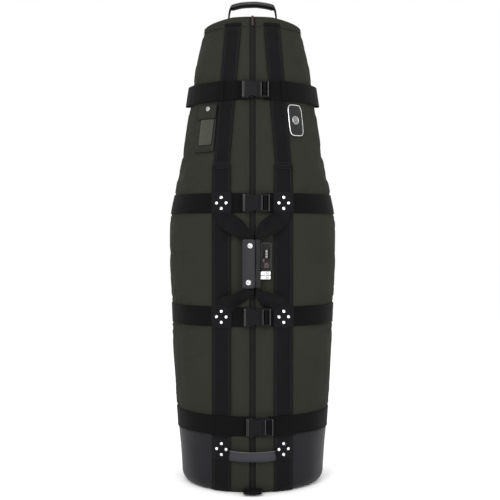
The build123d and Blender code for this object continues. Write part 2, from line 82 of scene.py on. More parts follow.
random.seed(7)


# ------------------------------------------------------------------ the outline as a surface
def outline(z):
    """Half width, front depth and back depth at height z, smooth through the stations."""
    z = min(max(z, STATIONS[0][0]), STATIONS[-1][0])
    i = 0
    while i < len(STATIONS) - 2 and STATIONS[i + 1][0] < z:
        i += 1
    before, lo, hi, after = (STATIONS[max(i - 1, 0)], STATIONS[i], STATIONS[i + 1],
                             STATIONS[min(i + 2, len(STATIONS) - 1)])
    step = hi[0] - lo[0]
    t = (z - lo[0]) / step
    result = []
    for k in (1, 2, 3):
        m0 = (hi[k] - before[k]) / (hi[0] - before[0]) * step
        m1 = (after[k] - lo[k]) / (after[0] - lo[0]) * step
        result.append((2 * t**3 - 3 * t**2 + 1) * lo[k] + (t**3 - 2 * t**2 + t) * m0
                      + (3 * t**2 - 2 * t**3) * hi[k] + (t**3 - t**2) * m1)
    return result


def ring(t, z, off=0.0, side=1):
    """A point of the outline: t runs 0 to 1 round the front, 1 to 2 round the back corner, 2 to 3 along the back."""
    a, f, b = (v + off for v in outline(z))
    flat = FLAT_BACK * a
    if t <= 1:
        angle = t * math.pi / 2
        x, y = a * math.sin(angle), -f * math.cos(angle)
    elif t <= 2:
        angle = (t - 1) * math.pi / 2
        x, y = flat + (a - flat) * math.cos(angle), b * math.sin(angle)
    else:
        x, y = flat * (3 - t), b
    return Vector((side * x, y, z))


def front(x, z, off=0.0):
    """The point of the front at x and z, on an offset from the outline."""
    a, f, b = (v + off for v in outline(z))
    return Vector((x, -f * math.sqrt(max(1 - (x / a) ** 2, 0.0)), z))


def front_t(x, z):
    """The ring parameter of the front's point at x."""
    return math.asin(min(abs(x) / outline(z)[0], 1.0)) * 2 / math.pi


def front_normal(x, z):
    e = 0.002
    across = front(x + e, z) - front(x - e, z)
    up = front(x, z + e) - front(x, z - e)
    return across.cross(up).normalized()


# ------------------------------------------------------------------ mesh helpers
def make_object(name, mesh, material):
    obj = bpy.data.objects.new(name, mesh)
    bpy.context.scene.collection.objects.link(obj)
    obj.data.materials.clear()
    obj.data.materials.append(material)
    return obj


def finish_mesh(bm, name, material, smooth=True):
    mesh = bpy.data.meshes.new(name)
    bm.normal_update()
    bm.to_mesh(mesh)
    bm.free()
    if smooth:
        mesh.polygons.foreach_set("use_smooth", [True] * len(mesh.polygons))
    return make_object(name, mesh, material)


def grid(name, rows, material, uv_rows=None, closed=False):
    """A mesh from rows of points, with UVs in metres along the rows and up the columns."""
    bm = bmesh.new()
    uv = bm.loops.layers.uv.new("UVMap")
    verts = [[bm.verts.new(p) for p in row] for row in rows]
    if uv_rows is None:
        uv_rows = []
        v = 0.0
        middle = len(rows[0]) // 2
        for i, row in enumerate(rows):
            if i:
                v += (Vector(row[middle]) - Vector(rows[i - 1][middle])).length
            u, line = 0.0, []
            for j, p in enumerate(row):
                if j:
                    u += (Vector(p) - Vector(row[j - 1])).length
                line.append((u, v))
            uv_rows.append(line)
    count = len(rows[0])
    for i in range(len(rows) - 1):
        for j in range(count if closed else count - 1):
            k = (j + 1) % count
            face = bm.faces.new((verts[i][j], verts[i][k], verts[i + 1][k], verts[i + 1][j]))
            corners = (uv_rows[i][j], uv_rows[i][k], uv_rows[i + 1][k], uv_rows[i + 1][j])
            for loop, at in zip(face.loops, corners):
                loop[uv].uv = at
    return finish_mesh(bm, name, material)


def apply_modifiers(obj):
    graph = bpy.context.evaluated_depsgraph_get()
    mesh = bpy.data.meshes.new_from_object(obj.evaluated_get(graph), preserve_all_data_layers=True,
                                           depsgraph=graph)
    obj.modifiers.clear()
    obj.data = mesh
    return obj


def thicken(obj, depth, bevel=0.0, outward=1.0):
    """Gives a sheet its thickness, outwards along its normals for outward=1."""
    mod = obj.modifiers.new("Thickness", "SOLIDIFY")
    mod.thickness, mod.offset = depth, outward
    if bevel:
        edge = obj.modifiers.new("Edge", "BEVEL")
        edge.width, edge.segments, edge.limit_method, edge.angle_limit = bevel, 2, "ANGLE", 0.7
    return apply_modifiers(obj)


def subdivide(obj, levels=1):
    mod = obj.modifiers.new("Subdivision", "SUBSURF")
    mod.levels = mod.render_levels = levels
    return apply_modifiers(obj)


def ribbon(name, centres, acrosses, width, depth, material, outs=None, columns=6):
    """Webbing along a line of centres, lying across the given directions."""
    rows = []
    widths = width if isinstance(width, (list, tuple)) else [width] * len(centres)
    for i, (c, w, wide) in enumerate(zip(centres, acrosses, widths)):
        w = Vector(w).normalized()
        rows.append([Vector(c) + w * wide * (j / columns - 0.5) for j in range(columns + 1)])
    obj = grid(name, rows, material)
    return thicken(obj, depth, bevel=min(depth * 0.35, 0.0006), outward=0)


def sweep(name, path, sizes, material, up=(0, 1, 0), sides=16, power=2.6, caps=True):
    """A closed superelliptic section swept along a path. sizes gives the half width along up and half thickness."""
    rows = []
    for i, p in enumerate(path):
        p = Vector(p)
        ahead = Vector(path[min(i + 1, len(path) - 1)]) - Vector(path[max(i - 1, 0)])
        wide = Vector(up).normalized()
        thick = ahead.normalized().cross(wide).normalized()
        half_w, half_t = sizes[i]
        line = []
        for k in range(sides):
            a = 2 * math.pi * k / sides
            c, s = math.cos(a), math.sin(a)
            line.append(p + wide * half_w * math.copysign(abs(c) ** (2 / power), c)
                        + thick * half_t * math.copysign(abs(s) ** (2 / power), s))
        rows.append(line)
    if caps:
        for end, at in ((0, path[0]), (-1, path[-1])):
            inner = [p.lerp(Vector(at), 0.5) for p in rows[end]]
            centre = [p.lerp(Vector(at), 0.999) for p in rows[end]]
            rows = [centre, inner] + rows if end == 0 else rows + [inner, centre]
    return grid(name, rows, material, closed=True)


def patch(name, corners, off, depth, material, cells=(10, 16), power=None, puff=0.0):
    """A patch that lies on the bag's front: corners in x and z, low left, low right, high right, high left."""
    (x0, z0), (x1, z1), (x2, z2), (x3, z3) = corners
    rows = []
    for i in range(cells[1] + 1):
        v = i / cells[1]
        row = []
        for j in range(cells[0] + 1):
            u = j / cells[0]
            x = (x0 * (1 - u) + x1 * u) * (1 - v) + (x3 * (1 - u) + x2 * u) * v
            z = (z0 * (1 - u) + z1 * u) * (1 - v) + (z3 * (1 - u) + z2 * u) * v
            if power:
                cu, cv = 2 * u - 1, 2 * v - 1
                r = (abs(cu) ** power + abs(cv) ** power) ** (1 / power)
                m = max(abs(cu), abs(cv))
                k = m / r if r > 1e-6 else 1.0
                mx, mz = (x0 + x1 + x2 + x3) / 4, (z0 + z1 + z2 + z3) / 4
                x, z = mx + (x - mx) * k, mz + (z - mz) * k
            swell = puff * (1 - (2 * u - 1) ** 4) * (1 - (2 * v - 1) ** 4)
            row.append(front(x, z, off) + front_normal(x, z) * swell)
        rows.append(row)
    return thicken(grid(name, rows, material), depth, bevel=min(depth * 0.4, 0.0008))


def leaning(x, z, width, height, lean):
    return [(x - width / 2 - lean, z - height / 2), (x + width / 2 - lean, z - height / 2),
            (x + width / 2 + lean, z + height / 2), (x - width / 2 + lean, z + height / 2)]


def disc(name, centre, normal, radius, height, material, dome=0.35, rim=True, sides=32):
    """A round snap or stud head with a rolled rim."""
    profile = [(0.0, height), (0.45, height * 0.97), (0.7, height * 0.85)]
    if rim:
        profile += [(0.78, height * 0.62), (0.86, height * 0.9), (0.95, height * 0.85)]
    profile += [(1.0, height * 0.5), (1.0, 0.0)]
    normal = Vector(normal).normalized()
    side = normal.orthogonal().normalized()
    other = normal.cross(side)
    rows = []
    for r, h in profile:
        rows.append([Vector(centre) + normal * h + (side * math.cos(2 * math.pi * k / sides)
                     + other * math.sin(2 * math.pi * k / sides)) * radius * max(r, 0.002) for k in range(sides)])
    return grid(name, rows, material, closed=True)


def bevelled(node, material, width=0.001, segments=3, name=None, subsurf=0):
    """The CAD node's own shape with its sharp edges rounded, as a new piece that stands for it."""
    source = NODES[node]
    obj = make_object(name or node + "_shown", source.data.copy(), material)
    merge = obj.modifiers.new("Merge", "WELD")
    merge.merge_threshold = 0.00001
    edge = obj.modifiers.new("Edge", "BEVEL")
    edge.width, edge.segments, edge.limit_method, edge.angle_limit = width, segments, "ANGLE", 0.6
    edge.harden_normals = False
    apply_modifiers(obj)
    obj.data.polygons.foreach_set("use_smooth", [True] * len(obj.data.polygons))
    normal = obj.modifiers.new("Normals", "WEIGHTED_NORMAL")
    normal.keep_sharp = True
    apply_modifiers(obj)
    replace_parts(obj, node)
    return obj


# ------------------------------------------------------------------ materials
def new_material(name):
    material = bpy.data.materials.new(name)
    material.use_nodes = True
    tree = material.node_tree
    tree.nodes.clear()
    out = tree.nodes.new("ShaderNodeOutputMaterial")
    shader = tree.nodes.new("ShaderNodeBsdfPrincipled")
    tree.links.new(shader.outputs[0], out.inputs[0])
    return material, tree, shader


def math_node(tree, kind, a, b=None):
    node = tree.nodes.new("ShaderNodeMath")
    node.operation = kind
    for i, value in enumerate((a, b)):
        if value is None:
            continue
        if isinstance(value, (int, float)):
            node.inputs[i].default_value = value
        else:
            tree.links.new(value, node.inputs[i])
    return node.outputs[0]


def noise_node(tree, vector, scale, detail=3.0, rough=0.55):
    node = tree.nodes.new("ShaderNodeTexNoise")
    node.inputs["Scale"].default_value = scale
    node.inputs["Detail"].default_value = detail
    node.inputs["Roughness"].default_value = rough
    tree.links.new(vector, node.inputs["Vector"])
    return node.outputs[0]


def finish_look(tree, shader, colours, tone, rough, height, strength, distance):
    """Colour between two tones, roughness over a range, and bump from the height."""
    mix = tree.nodes.new("ShaderNodeMix")
    mix.data_type = "RGBA"
    mix.inputs[6].default_value = (*colours[0], 1)
    mix.inputs[7].default_value = (*colours[1], 1)
    tree.links.new(tone, mix.inputs[0])
    tree.links.new(mix.outputs[2], shader.inputs["Base Color"])
    span = tree.nodes.new("ShaderNodeMapRange")
    span.inputs[3].default_value, span.inputs[4].default_value = rough
    tree.links.new(tone, span.inputs[0])
    tree.links.new(span.outputs[0], shader.inputs["Roughness"])
    bump = tree.nodes.new("ShaderNodeBump")
    bump.inputs["Strength"].default_value = strength
    bump.inputs["Distance"].default_value = distance
    tree.links.new(height, bump.inputs["Height"])
    tree.links.new(bump.outputs[0], shader.inputs["Normal"])


def woven(name, dark, light, pitch=(0.0012, 0.0012), rough=(0.7, 0.9), sheen=0.0, strength=0.5, mottle=9.0):
    """Woven cloth or webbing: over-and-under threads in UV metres and a cloudy tone."""
    material, tree, shader = new_material(name)
    coord = tree.nodes.new("ShaderNodeTexCoord")
    split = tree.nodes.new("ShaderNodeSeparateXYZ")
    tree.links.new(coord.outputs["UV"], split.inputs[0])
    u = math_node(tree, "MULTIPLY", split.outputs[0], 2 * math.pi / pitch[0])
    v = math_node(tree, "MULTIPLY", split.outputs[1], 2 * math.pi / pitch[1])
    warp = math_node(tree, "MULTIPLY", math_node(tree, "SINE", u), math_node(tree, "SINE", v))
    threads = math_node(tree, "MULTIPLY", math_node(tree, "ABSOLUTE", math_node(tree, "COSINE", u)), 0.35)
    height = math_node(tree, "ADD", warp, threads)
    cloud = noise_node(tree, coord.outputs["Object"], mottle, 4.0)
    fine = noise_node(tree, coord.outputs["Object"], 900.0, 2.0)
    tone = math_node(tree, "ADD", math_node(tree, "MULTIPLY", cloud, 0.75), math_node(tree, "MULTIPLY", fine, 0.25))
    tone = math_node(tree, "ADD", tone, math_node(tree, "MULTIPLY", warp, 0.12))
    finish_look(tree, shader, (dark, light), tone, rough, height, strength, 0.0004)
    shader.inputs["Sheen Weight"].default_value = sheen
    shader.inputs["Sheen Roughness"].default_value = 0.4
    shader.inputs["Specular IOR Level"].default_value = 0.06
    return material


def grained(name, dark, light, scale=420.0, rough=(0.35, 0.55), strength=0.35, coat=0.0, metallic=0.0, cloud=14.0,
            distance=0.0003, specular=0.5):
    """Leather, vinyl, moulded plastic or metal: a fine cell grain over a cloudy tone."""
    material, tree, shader = new_material(name)
    coord = tree.nodes.new("ShaderNodeTexCoord")
    cells = tree.nodes.new("ShaderNodeTexVoronoi")
    cells.inputs["Scale"].default_value = scale
    tree.links.new(coord.outputs["Object"], cells.inputs["Vector"])
    tone = math_node(tree, "ADD",
                     math_node(tree, "MULTIPLY", noise_node(tree, coord.outputs["Object"], cloud, 4.0), 0.8),
                     math_node(tree, "MULTIPLY", cells.outputs[0], 0.2))
    finish_look(tree, shader, (dark, light), tone, rough, cells.outputs[0], strength, distance)
    shader.inputs["Coat Weight"].default_value = coat
    shader.inputs["Metallic"].default_value = metallic
    shader.inputs["Specular IOR Level"].default_value = specular
    return material


def clear_sheet(name):
    material, tree, shader = new_material(name)
    coord = tree.nodes.new("ShaderNodeTexCoord")
    tone = noise_node(tree, coord.outputs["Object"], 60.0, 3.0)
    finish_look(tree, shader, ((0.026, 0.028, 0.020), (0.038, 0.040, 0.030)), tone, (0.2, 0.35), tone, 0.2, 0.0003)
    shader.inputs["Specular IOR Level"].default_value = 0.22
    return material


GREEN = woven("green_cloth", (0.0152, 0.0154, 0.0117), (0.0240, 0.0242, 0.0188), pitch=(0.0016, 0.0016), mottle=6.0)
WEB = woven("black_webbing", (0.0020, 0.0020, 0.0024), (0.0054, 0.0054, 0.0062), pitch=(0.0036, 0.0022),
            rough=(0.55, 0.75), sheen=0.01, strength=0.7, mottle=25.0)
STRAP = woven("strap_webbing", (0.0010, 0.0010, 0.0012), (0.0026, 0.0026, 0.0030), pitch=(0.0036, 0.0022),
              rough=(0.55, 0.75), strength=0.7, mottle=25.0)
LINING = woven("lining_cloth", (0.02, 0.02, 0.022), (0.04, 0.04, 0.043), pitch=(0.0008, 0.0008), rough=(0.5, 0.7))
TAPE = woven("zip_tape", (0.005, 0.005, 0.005), (0.010, 0.010, 0.0095), pitch=(0.001, 0.002))
VINYL = grained("vinyl", (0.0052, 0.0050, 0.0068), (0.0098, 0.0095, 0.0125), scale=520.0, rough=(0.4, 0.52), strength=0.3,
                specular=0.12)
LEATHER = grained("leather", (0.0055, 0.0055, 0.0056), (0.0125, 0.0125, 0.0126), scale=650.0, rough=(0.4, 0.52),
                  strength=0.5, specular=0.12)
LIGHT_LEATHER = grained("light_leather", (0.0110, 0.0107, 0.0125), (0.0200, 0.0196, 0.0225), scale=650.0,
                        rough=(0.38, 0.5), strength=0.5, specular=0.15)
ACETAL = grained("acetal", (0.0035, 0.0035, 0.004), (0.008, 0.008, 0.009), scale=1500.0, rough=(0.22, 0.34),
                 strength=0.12, specular=0.05)
PLASTIC = grained("moulded_plastic", (0.006, 0.006, 0.0065), (0.013, 0.013, 0.0135), scale=900.0,
                  rough=(0.45, 0.6), strength=0.35, specular=0.1)
NATURAL = grained("sheet_plastic", (0.5, 0.5, 0.48), (0.62, 0.62, 0.6), scale=300.0, rough=(0.4, 0.5))
RUBBER = grained("wheel_rubber", (0.012, 0.012, 0.012), (0.022, 0.022, 0.022), scale=800.0, rough=(0.5, 0.7))
SILVER = grained("satin_silver", (0.72, 0.72, 0.74), (0.86, 0.86, 0.87), scale=1400.0, rough=(0.18, 0.32),
                 strength=0.08, metallic=1.0, cloud=60.0)
SNAP = grained("snap_metal", (0.34, 0.34, 0.35), (0.50, 0.50, 0.51), scale=1400.0, rough=(0.2, 0.34), strength=0.1,
               metallic=1.0, cloud=60.0)
STEEL = grained("steel", (0.45, 0.45, 0.46), (0.6, 0.6, 0.6), scale=1000.0, rough=(0.3, 0.45), metallic=1.0)
WHITE = grained("white_dial", (0.42, 0.42, 0.40), (0.55, 0.55, 0.53), scale=1500.0, rough=(0.3, 0.4), strength=0.05)
BRASS = grained("brass", (0.040, 0.030, 0.030), (0.07, 0.052, 0.050), scale=1200.0, rough=(0.28, 0.4), metallic=1.0)
ENAMEL = grained("dark_enamel", (0.006, 0.0065, 0.0065), (0.018, 0.019, 0.018), scale=900.0, rough=(0.3, 0.45),
                 specular=0.2)
CLEAR = clear_sheet("clear_window")
PATCH_CLOTH = woven("patch_cloth", (0.004, 0.004, 0.0045), (0.009, 0.009, 0.010), pitch=(0.0014, 0.0014), mottle=30.0)
THREAD = grained("thread", (0.010, 0.010, 0.011), (0.020, 0.020, 0.021), scale=900.0, rough=(0.5, 0.7),
                 specular=0.2)
GREEN_THREAD = grained("green_thread", (0.020, 0.021, 0.015), (0.034, 0.035, 0.026), scale=900.0, rough=(0.5, 0.7),
                       specular=0.2)
COIL = grained("coil", (0.009, 0.009, 0.0078), (0.018, 0.018, 0.0155), scale=900.0, rough=(0.4, 0.55), specular=0.1)
BINDING = woven("binding", (0.004, 0.004, 0.0045), (0.009, 0.009, 0.010), pitch=(0.0015, 0.0015), rough=(0.5, 0.7))
# Grey for the handle piping and the dial marks; on the buckle bars and the lock frame this lighter grey is also a
# painted highlight that stands for edge glints.
GREY_TRIM_AND_GLINT = grained("grey_trim_and_glint", (0.020, 0.020, 0.021), (0.040, 0.040, 0.042), scale=700.0, rough=(0.3, 0.45))
HANDLE_VINYL = grained("handle_vinyl", (0.018, 0.0185, 0.022), (0.030, 0.031, 0.037), scale=520.0,
                       rough=(0.38, 0.5), strength=0.4, specular=0.15)
GREEN_BINDING = woven("green_binding", (0.014, 0.0145, 0.011), (0.024, 0.025, 0.018), pitch=(0.0012, 0.0012))
BROWN = grained("brown_stop", (0.020, 0.011, 0.009), (0.040, 0.024, 0.019), scale=700.0, rough=(0.4, 0.55), specular=0.15)
RED_KEY = grained("red_key", (0.030, 0.009, 0.010), (0.055, 0.016, 0.017), scale=900.0, rough=(0.3, 0.45))


# ------------------------------------------------------------------ green cloth skins
def web_edges(z):
    """The inner and outer edge of the upright webbing at height z."""
    if z < 0.8265:
        return WEB_IN, WEB_OUT
    run = [(0.827, 0.057, 0.099), (1.120, 0.034, 0.076), (1.184, 0.029, 0.071)]
    for (z0, i0, o0), (z1, i1, o1) in zip(run, run[1:]):
        if z <= z1 or z1 == run[-1][0]:
            t = min((z - z0) / (z1 - z0), 1.0)
            return i0 + (i1 - i0) * t, o0 + (o1 - o0) * t


def held(side, p, z, t):
    """How firmly the cloth is held here, 0 to 1: along seams, straps, webbing and sewn patches."""
    firm = 0.0

    def near(distance, reach):
        return max(0.0, 1.0 - max(distance, 0.0) / reach)

    firm = max(firm, near(min(z - SEAM_LOW, SEAM_HIGH - z), 0.012))
    for zs in STRAP_Z:
        firm = max(firm, near(abs(z - zs) - STRAP_HALF, 0.010))
    if p.y < 0:
        inner, outer = web_edges(z)
        x = abs(p.x)
        firm = max(firm, near(max(inner - x, x - outer), 0.008), near(x - 0.012, 0.014))
        if side < 0 and 0.855 < z < 0.995 and 0.088 < x < 0.150:
            firm = 1.0
        if side > 0 and 0.898 < z < 0.990 and 0.088 < x < 0.134:
            firm = 1.0
        if side > 0 and 0.50 < z < 0.66 and x < 0.055:
            firm = 1.0
    else:
        if 0.19 < z < 0.71:
            firm = max(firm, near(abs(p.x) - 0.085, 0.02))
        firm = max(firm, near(abs(p.x), 0.006))
    return firm


def skin(side, name):
    """One side of the bag's cloth, from the zipper round to the middle of the back."""
    n_t, n_z = 84, 190
    rows, weights = [], []
    for i in range(n_z + 1):
        z = SEAM_LOW + (SEAM_HIGH - SEAM_LOW) * i / n_z
        t0 = front_t(ZIP_EDGE, z)
        row = []
        for j in range(n_t + 1):
            t = t0 + (3 - t0) * j / n_t
            p = ring(t, z, -0.0015, side)
            firm = held(side, p, z, t)
            weights.append(firm)
            row.append(p)
        rows.append(row)
    if side < 0:
        rows = rows[::-1]
        weights = [w for i in range(n_z, -1, -1) for w in weights[i * (n_t + 1):(i + 1) * (n_t + 1)]]
    obj = grid(name, rows, GREEN)
    inflate(obj, weights, cap=0.0042, pressure=0.9)
    smooth_wrinkles(obj, weights)
    return thicken(obj, 0.0018, bevel=0.0005, outward=-1)


def inflate(obj, weights, cap, pressure):
    """Lets the cloth swell between the lines that hold it, then limits how far each point has moved."""
    group = obj.vertex_groups.new(name="held")
    for i, w in enumerate(weights):
        if w > 0:
            group.add([i], w, "REPLACE")
    rest = [v.co.copy() for v in obj.data.vertices]
    cloth = obj.modifiers.new("Cloth", "CLOTH")
    s = cloth.settings
    s.vertex_group_mass = "held"
    s.pin_stiffness = 5.0
    s.quality = 6
    s.mass = 0.35
    s.tension_stiffness = s.compression_stiffness = 25
    s.shear_stiffness = 12
    s.bending_stiffness = 0.8
    s.shrink_min = s.shrink_max = -0.018
    s.use_pressure = True
    s.uniform_pressure_force = pressure
    s.effector_weights.gravity = 0
    cloth.collision_settings.use_self_collision = False
    scene = bpy.context.scene
    cloth.point_cache.frame_start, cloth.point_cache.frame_end = 1, 24
    for frame_number in range(1, 21):
        scene.frame_set(frame_number)
    apply_modifiers(obj)
    scene.frame_set(1)
    for v, p, w in zip(obj.data.vertices, rest, weights):
        move = v.co - p
        outward = Vector((p.x, p.y, 0)).normalized()
        inward = -move.dot(outward)
        if inward > 0.0006:
            move += outward * (inward - 0.0006)
        limit = cap * (1 - 0.93 * w)
        if move.length > limit:
            move *= limit / move.length
        v.co = p + move
    obj.vertex_groups.clear()


def smooth_wrinkles(obj, weights):
    """Soft folds: shallow vertical drags between the straps, deeper near the straps and the shoulder."""
    normals = [v.normal.copy() for v in obj.data.vertices]
    for v, n, w in zip(obj.data.vertices, normals, weights):
        p = v.co
        free = (1 - w) ** 0.7
        close = min(abs(p.z - zs) for zs in STRAP_Z)
        drag = noise.noise(Vector((p.x * 34, p.y * 34, p.z * 7 + 3))) * 0.0013
        pucker = noise.noise(Vector((p.x * 70, p.y * 70, p.z * 22))) * 0.0014 * math.exp(-close / 0.07)
        shoulder = noise.noise(Vector((p.x * 20, p.y * 20, p.z * 45))) * 0.0016 * math.exp(-abs(p.z - 0.79) / 0.06)
        v.co = p + n * (drag + pucker + shoulder) * free


HINGE_Y = 0.0
for side, label in SIDES:
    obj = skin(side, f"{label}_cloth")
    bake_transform(obj)
    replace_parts(obj, f"{label}_front_panel")
    if side < 0:
        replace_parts(obj, "rear_shell")


# ------------------------------------------------------------------ linings, seen when the bag is open
def lining(side, name):
    """The padded inner sheet of one side, from the zipper round to the middle of the back."""
    rows = []
    for i in range(141):
        z = SEAM_LOW + 0.005 + (SEAM_HIGH - SEAM_LOW - 0.010) * i / 140
        t0 = front_t(0.018, z)
        row = []
        for j in range(71):
            t = t0 + (3 - t0) * j / 70
            k = min(max((t - 0.85) / 0.3, 0.0), 1.0)
            off = -0.0062 - 0.0028 * k * k * (3 - 2 * k)
            quilt = abs(math.sin((z - 0.87) * math.pi / 0.062)) ** 0.6 if z > 0.87 else 1.0
            p = ring(t, z, off, side)
            puff = 0.0018 * quilt * k + noise.noise(p * 25) * 0.0010
            row.append(ring(t, z, off - puff, side))
        rows.append(row)
    obj = grid(name, rows if side > 0 else rows[::-1], LINING)
    thicken(obj, 0.0008, outward=-1)
    return obj


for side, label in SIDES:
    obj = lining(side, f"{label}_lining")
    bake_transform(obj)
    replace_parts(obj, f"{label}_front_lining")
    if side < 0:
        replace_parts(obj, "rear_lining", "club_head_padding")


# ------------------------------------------------------------------ bottom edge, tucked under
TUCK = 0.028


def tuck(z, y=-0.15):
    """How far the outline comes in near the floor; it fades out toward the wheel housing."""
    fade = min(max((0.072 - y) / 0.09, 0.0), 1.0)
    drop = max(TUCK - z, 0.0) / TUCK
    return -TUCK * 0.75 * (1 - math.sqrt(max(1 - drop * drop, 0.0))) * fade


def full_ring(z, off, count=64):
    """The whole outline at one height as a closed run of points."""
    right = [ring(3 * j / count, z, off, 1) for j in range(count + 1)]
    left = [ring(3 * j / count, z, off, -1) for j in range(count - 1, 0, -1)]
    return right + left


def front_strip(name, heights, edges, off, depth, material, columns=12, body=None, wave=0.0):
    """A strip on the front between two x edges given for each height; off may be a function of x and z."""
    rows = []
    for z in heights:
        x0, x1 = edges(z)
        row = []
        for j in range(columns + 1):
            x = x0 + (x1 - x0) * j / columns
            o = off(x, z) if callable(off) else off
            o += tuck(z) + wave * noise.noise(Vector((x * 30, z * 18, 2.0)))
            row.append(front(x, z, o))
        rows.append(row)
    obj = thicken(grid(name, rows, material), depth, bevel=min(depth * 0.35, 0.0006))
    if body:
        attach(obj, body)
    return obj


def steps(low, high, count):
    return [low + (high - low) * i / count for i in range(count + 1)]


def blocks(name, places, material, body):
    """Many small rounded blocks in one mesh, such as stitches or zipper teeth: centre, length way, out, half sizes."""
    bm = bmesh.new()
    for centre, along, out, (hl, hw, hh) in places:
        along, out = Vector(along).normalized(), Vector(out).normalized()
        wide = along.cross(out).normalized()
        base, top = [], []
        for sl, sw in ((-1, -1), (1, -1), (1, 1), (-1, 1)):
            base.append(bm.verts.new(centre + along * sl * hl + wide * sw * hw))
            top.append(bm.verts.new(centre + along * sl * hl * 0.8 + wide * sw * hw * 0.6 + out * hh))
        bm.faces.new(top)
        for k in range(4):
            n = (k + 1) % 4
            bm.faces.new((base[k], base[n], top[n], top[k]))
    obj = finish_mesh(bm, name, material, smooth=False)
    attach(obj, body)
    return obj


def stitch_run(points, outs, length=0.0032, gap=0.0016, width=0.00045, height=0.0005):
    """Places for stitches along a line of points."""
    places = []
    need = 0.0
    for i in range(1, len(points)):
        a, b = Vector(points[i - 1]), Vector(points[i])
        way = b - a
        run = way.length
        at = need
        while at < run:
            places.append((a + way * (at / run), way, outs[i], (length / 2, width, height)))
            at += length + gap
        need = at - run
    return places


def front_stitches(xs, zs, off):
    points = [front(x, z, (off(x, z) if callable(off) else off) + tuck(z)) for x, z in zip(xs, zs)]
    outs = [front_normal(x, z) for x, z in zip(xs, zs)]
    outs = [n if n.y < 0 else -n for n in outs]
    return stitch_run(points, outs)


def tube(name, points, radius, material, closed=False, sides=8, body=None):
    rows = []
    count = len(points)
    for i, p in enumerate(points):
        before = points[i - 1] if (i or closed) else points[0]
        after = points[(i + 1) % count] if (i < count - 1 or closed) else points[-1]
        way = (Vector(after) - Vector(before)).normalized()
        side = way.cross(Vector((0, 0, 1)))
        if side.length < 0.05:
            side = way.cross(Vector((0, 1, 0)))
        side.normalize()
        other = way.cross(side).normalized()
        rows.append([Vector(p) + (side * math.cos(2 * math.pi * k / sides)
                     + other * math.sin(2 * math.pi * k / sides)) * radius for k in range(sides)])
    if closed:
        rows.append([p.copy() for p in rows[0]])
    obj = grid(name, rows, material, closed=True)
    if body:
        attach(obj, body)
    return obj


def studs(name, places, radius, height, material, body):
    """Domed stud or rivet heads, all in one mesh."""
    parts = [disc(f"{name}_{i}", c, n, radius, height, material) for i, (c, n) in enumerate(places)]
    if len(parts) > 1:
        bpy.ops.object.select_all(action="DESELECT")
        for part in parts:
            part.select_set(True)
        bpy.context.view_layer.objects.active = parts[0]
        bpy.ops.object.join()
    parts[0].name = name
    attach(parts[0], body)
    return parts[0]


def front_plate(name, x0, x1, z0, z1, y, depth, corner, material, bow, cells=(16, 44)):
    """A flat piece facing forward with rounded corners and a slight bow across its width."""
    rows = []
    for i in range(cells[1] + 1):
        v = i / cells[1]
        z = z0 + (z1 - z0) * v
        end = min(z - z0, z1 - z)
        cut = corner - math.sqrt(max(corner**2 - max(corner - end, 0.0) ** 2, 0.0))
        row = []
        for j in range(cells[0] + 1):
            u = j / cells[0]
            x = x0 + cut + (x1 - x0 - 2 * cut) * u
            lift = bow * (1 - (2 * u - 1) ** 2) + 0.0004 * noise.noise(Vector((x * 90, z * 60, 0)))
            row.append(Vector((x, y - lift, z)))
        rows.append(row)
    return thicken(grid(name, rows, material), depth, bevel=min(depth * 0.4, 0.0006))


# ------------------------------------------------------------------ compression straps
def extent(node):
    """The low and high corners of a CAD node in the shared frame."""
    obj = bpy.data.objects[node]
    points = [obj.matrix_world @ v.co for v in obj.data.vertices]
    return (Vector([min(p[i] for p in points) for i in range(3)]),
            Vector([max(p[i] for p in points) for i in range(3)]))


def over_webbing(x, z):
    """The outer face of the upright webbing under a strap that passes over it."""
    inner, outer = web_edges(z)
    x = abs(x)
    inside = min(x - inner, outer - x)
    k = min(max((inside + 0.010) / 0.010, 0.0), 1.0)
    return 0.0032 * k * k * (3 - 2 * k)


def strap_sheet(name, side, z, index):
    start = abs(BUCKLE_X[index] + side * 0.021) if (BUCKLE_X[index] + side * 0.021) * side > 0 else 0.001
    over = index in (0, 3)
    rows = []
    for i in range(11):
        zz = z - STRAP_HALF + 2 * STRAP_HALF * i / 10
        row = []
        t0 = front_t(start, zz)
        for j in range(141):
            t = t0 + (3 - t0) * j / 140
            p = ring(t, zz, 0.0, side)
            off = 0.0010 + (over_webbing(p.x, zz) if over and t < 1 else 0.0)
            off += 0.0006 * noise.noise(Vector((t * 6, z * 50, side)))
            row.append(ring(t, zz, off, side))
        rows.append(row)
    obj = grid(name, rows if side > 0 else rows[::-1], STRAP)
    thicken(obj, 0.0016, bevel=0.0005, outward=0)
    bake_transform(obj)
    return obj


for side, label in SIDES:
    for index, z in enumerate(STRAP_Z):
        band = strap_sheet(f"{label}_strap_{index + 1}", side, z, index)
        if index == 0:
            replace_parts(band, f"{label}_straps")
            if side < 0:
                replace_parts(band, "rear_straps")

# The top strap is folded back into a loop that stands out at each side.
for side, label in SIDES:
    z = STRAP_Z[3]
    run = [(0.29, 0.0058), (0.36, 0.0056), (0.44, 0.0034), (0.52, 0.0030), (0.60, 0.0036), (0.70, 0.0055), (0.80, 0.0080), (0.88, 0.0100), (0.94, 0.0118), (0.975, 0.0124),
           (1.0, 0.0118), (1.02, 0.0090), (1.03, 0.0052), (1.035, 0.0030)]
    rows = []
    for i in range(9):
        zz = z - STRAP_HALF - 0.0006 + (2 * STRAP_HALF + 0.0012) * i / 8
        rows.append([ring(t, zz + 0.0015 * (t - 0.6), off, side) for t, off in run])
    loop = grid(f"{label}_strap_loop", rows if side > 0 else rows[::-1], STRAP)
    thicken(loop, 0.0016, bevel=0.0005, outward=0)
    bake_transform(loop)

# ------------------------------------------------------------------ upright webbing, patches and rivets
WEB_OFF = 0.0021


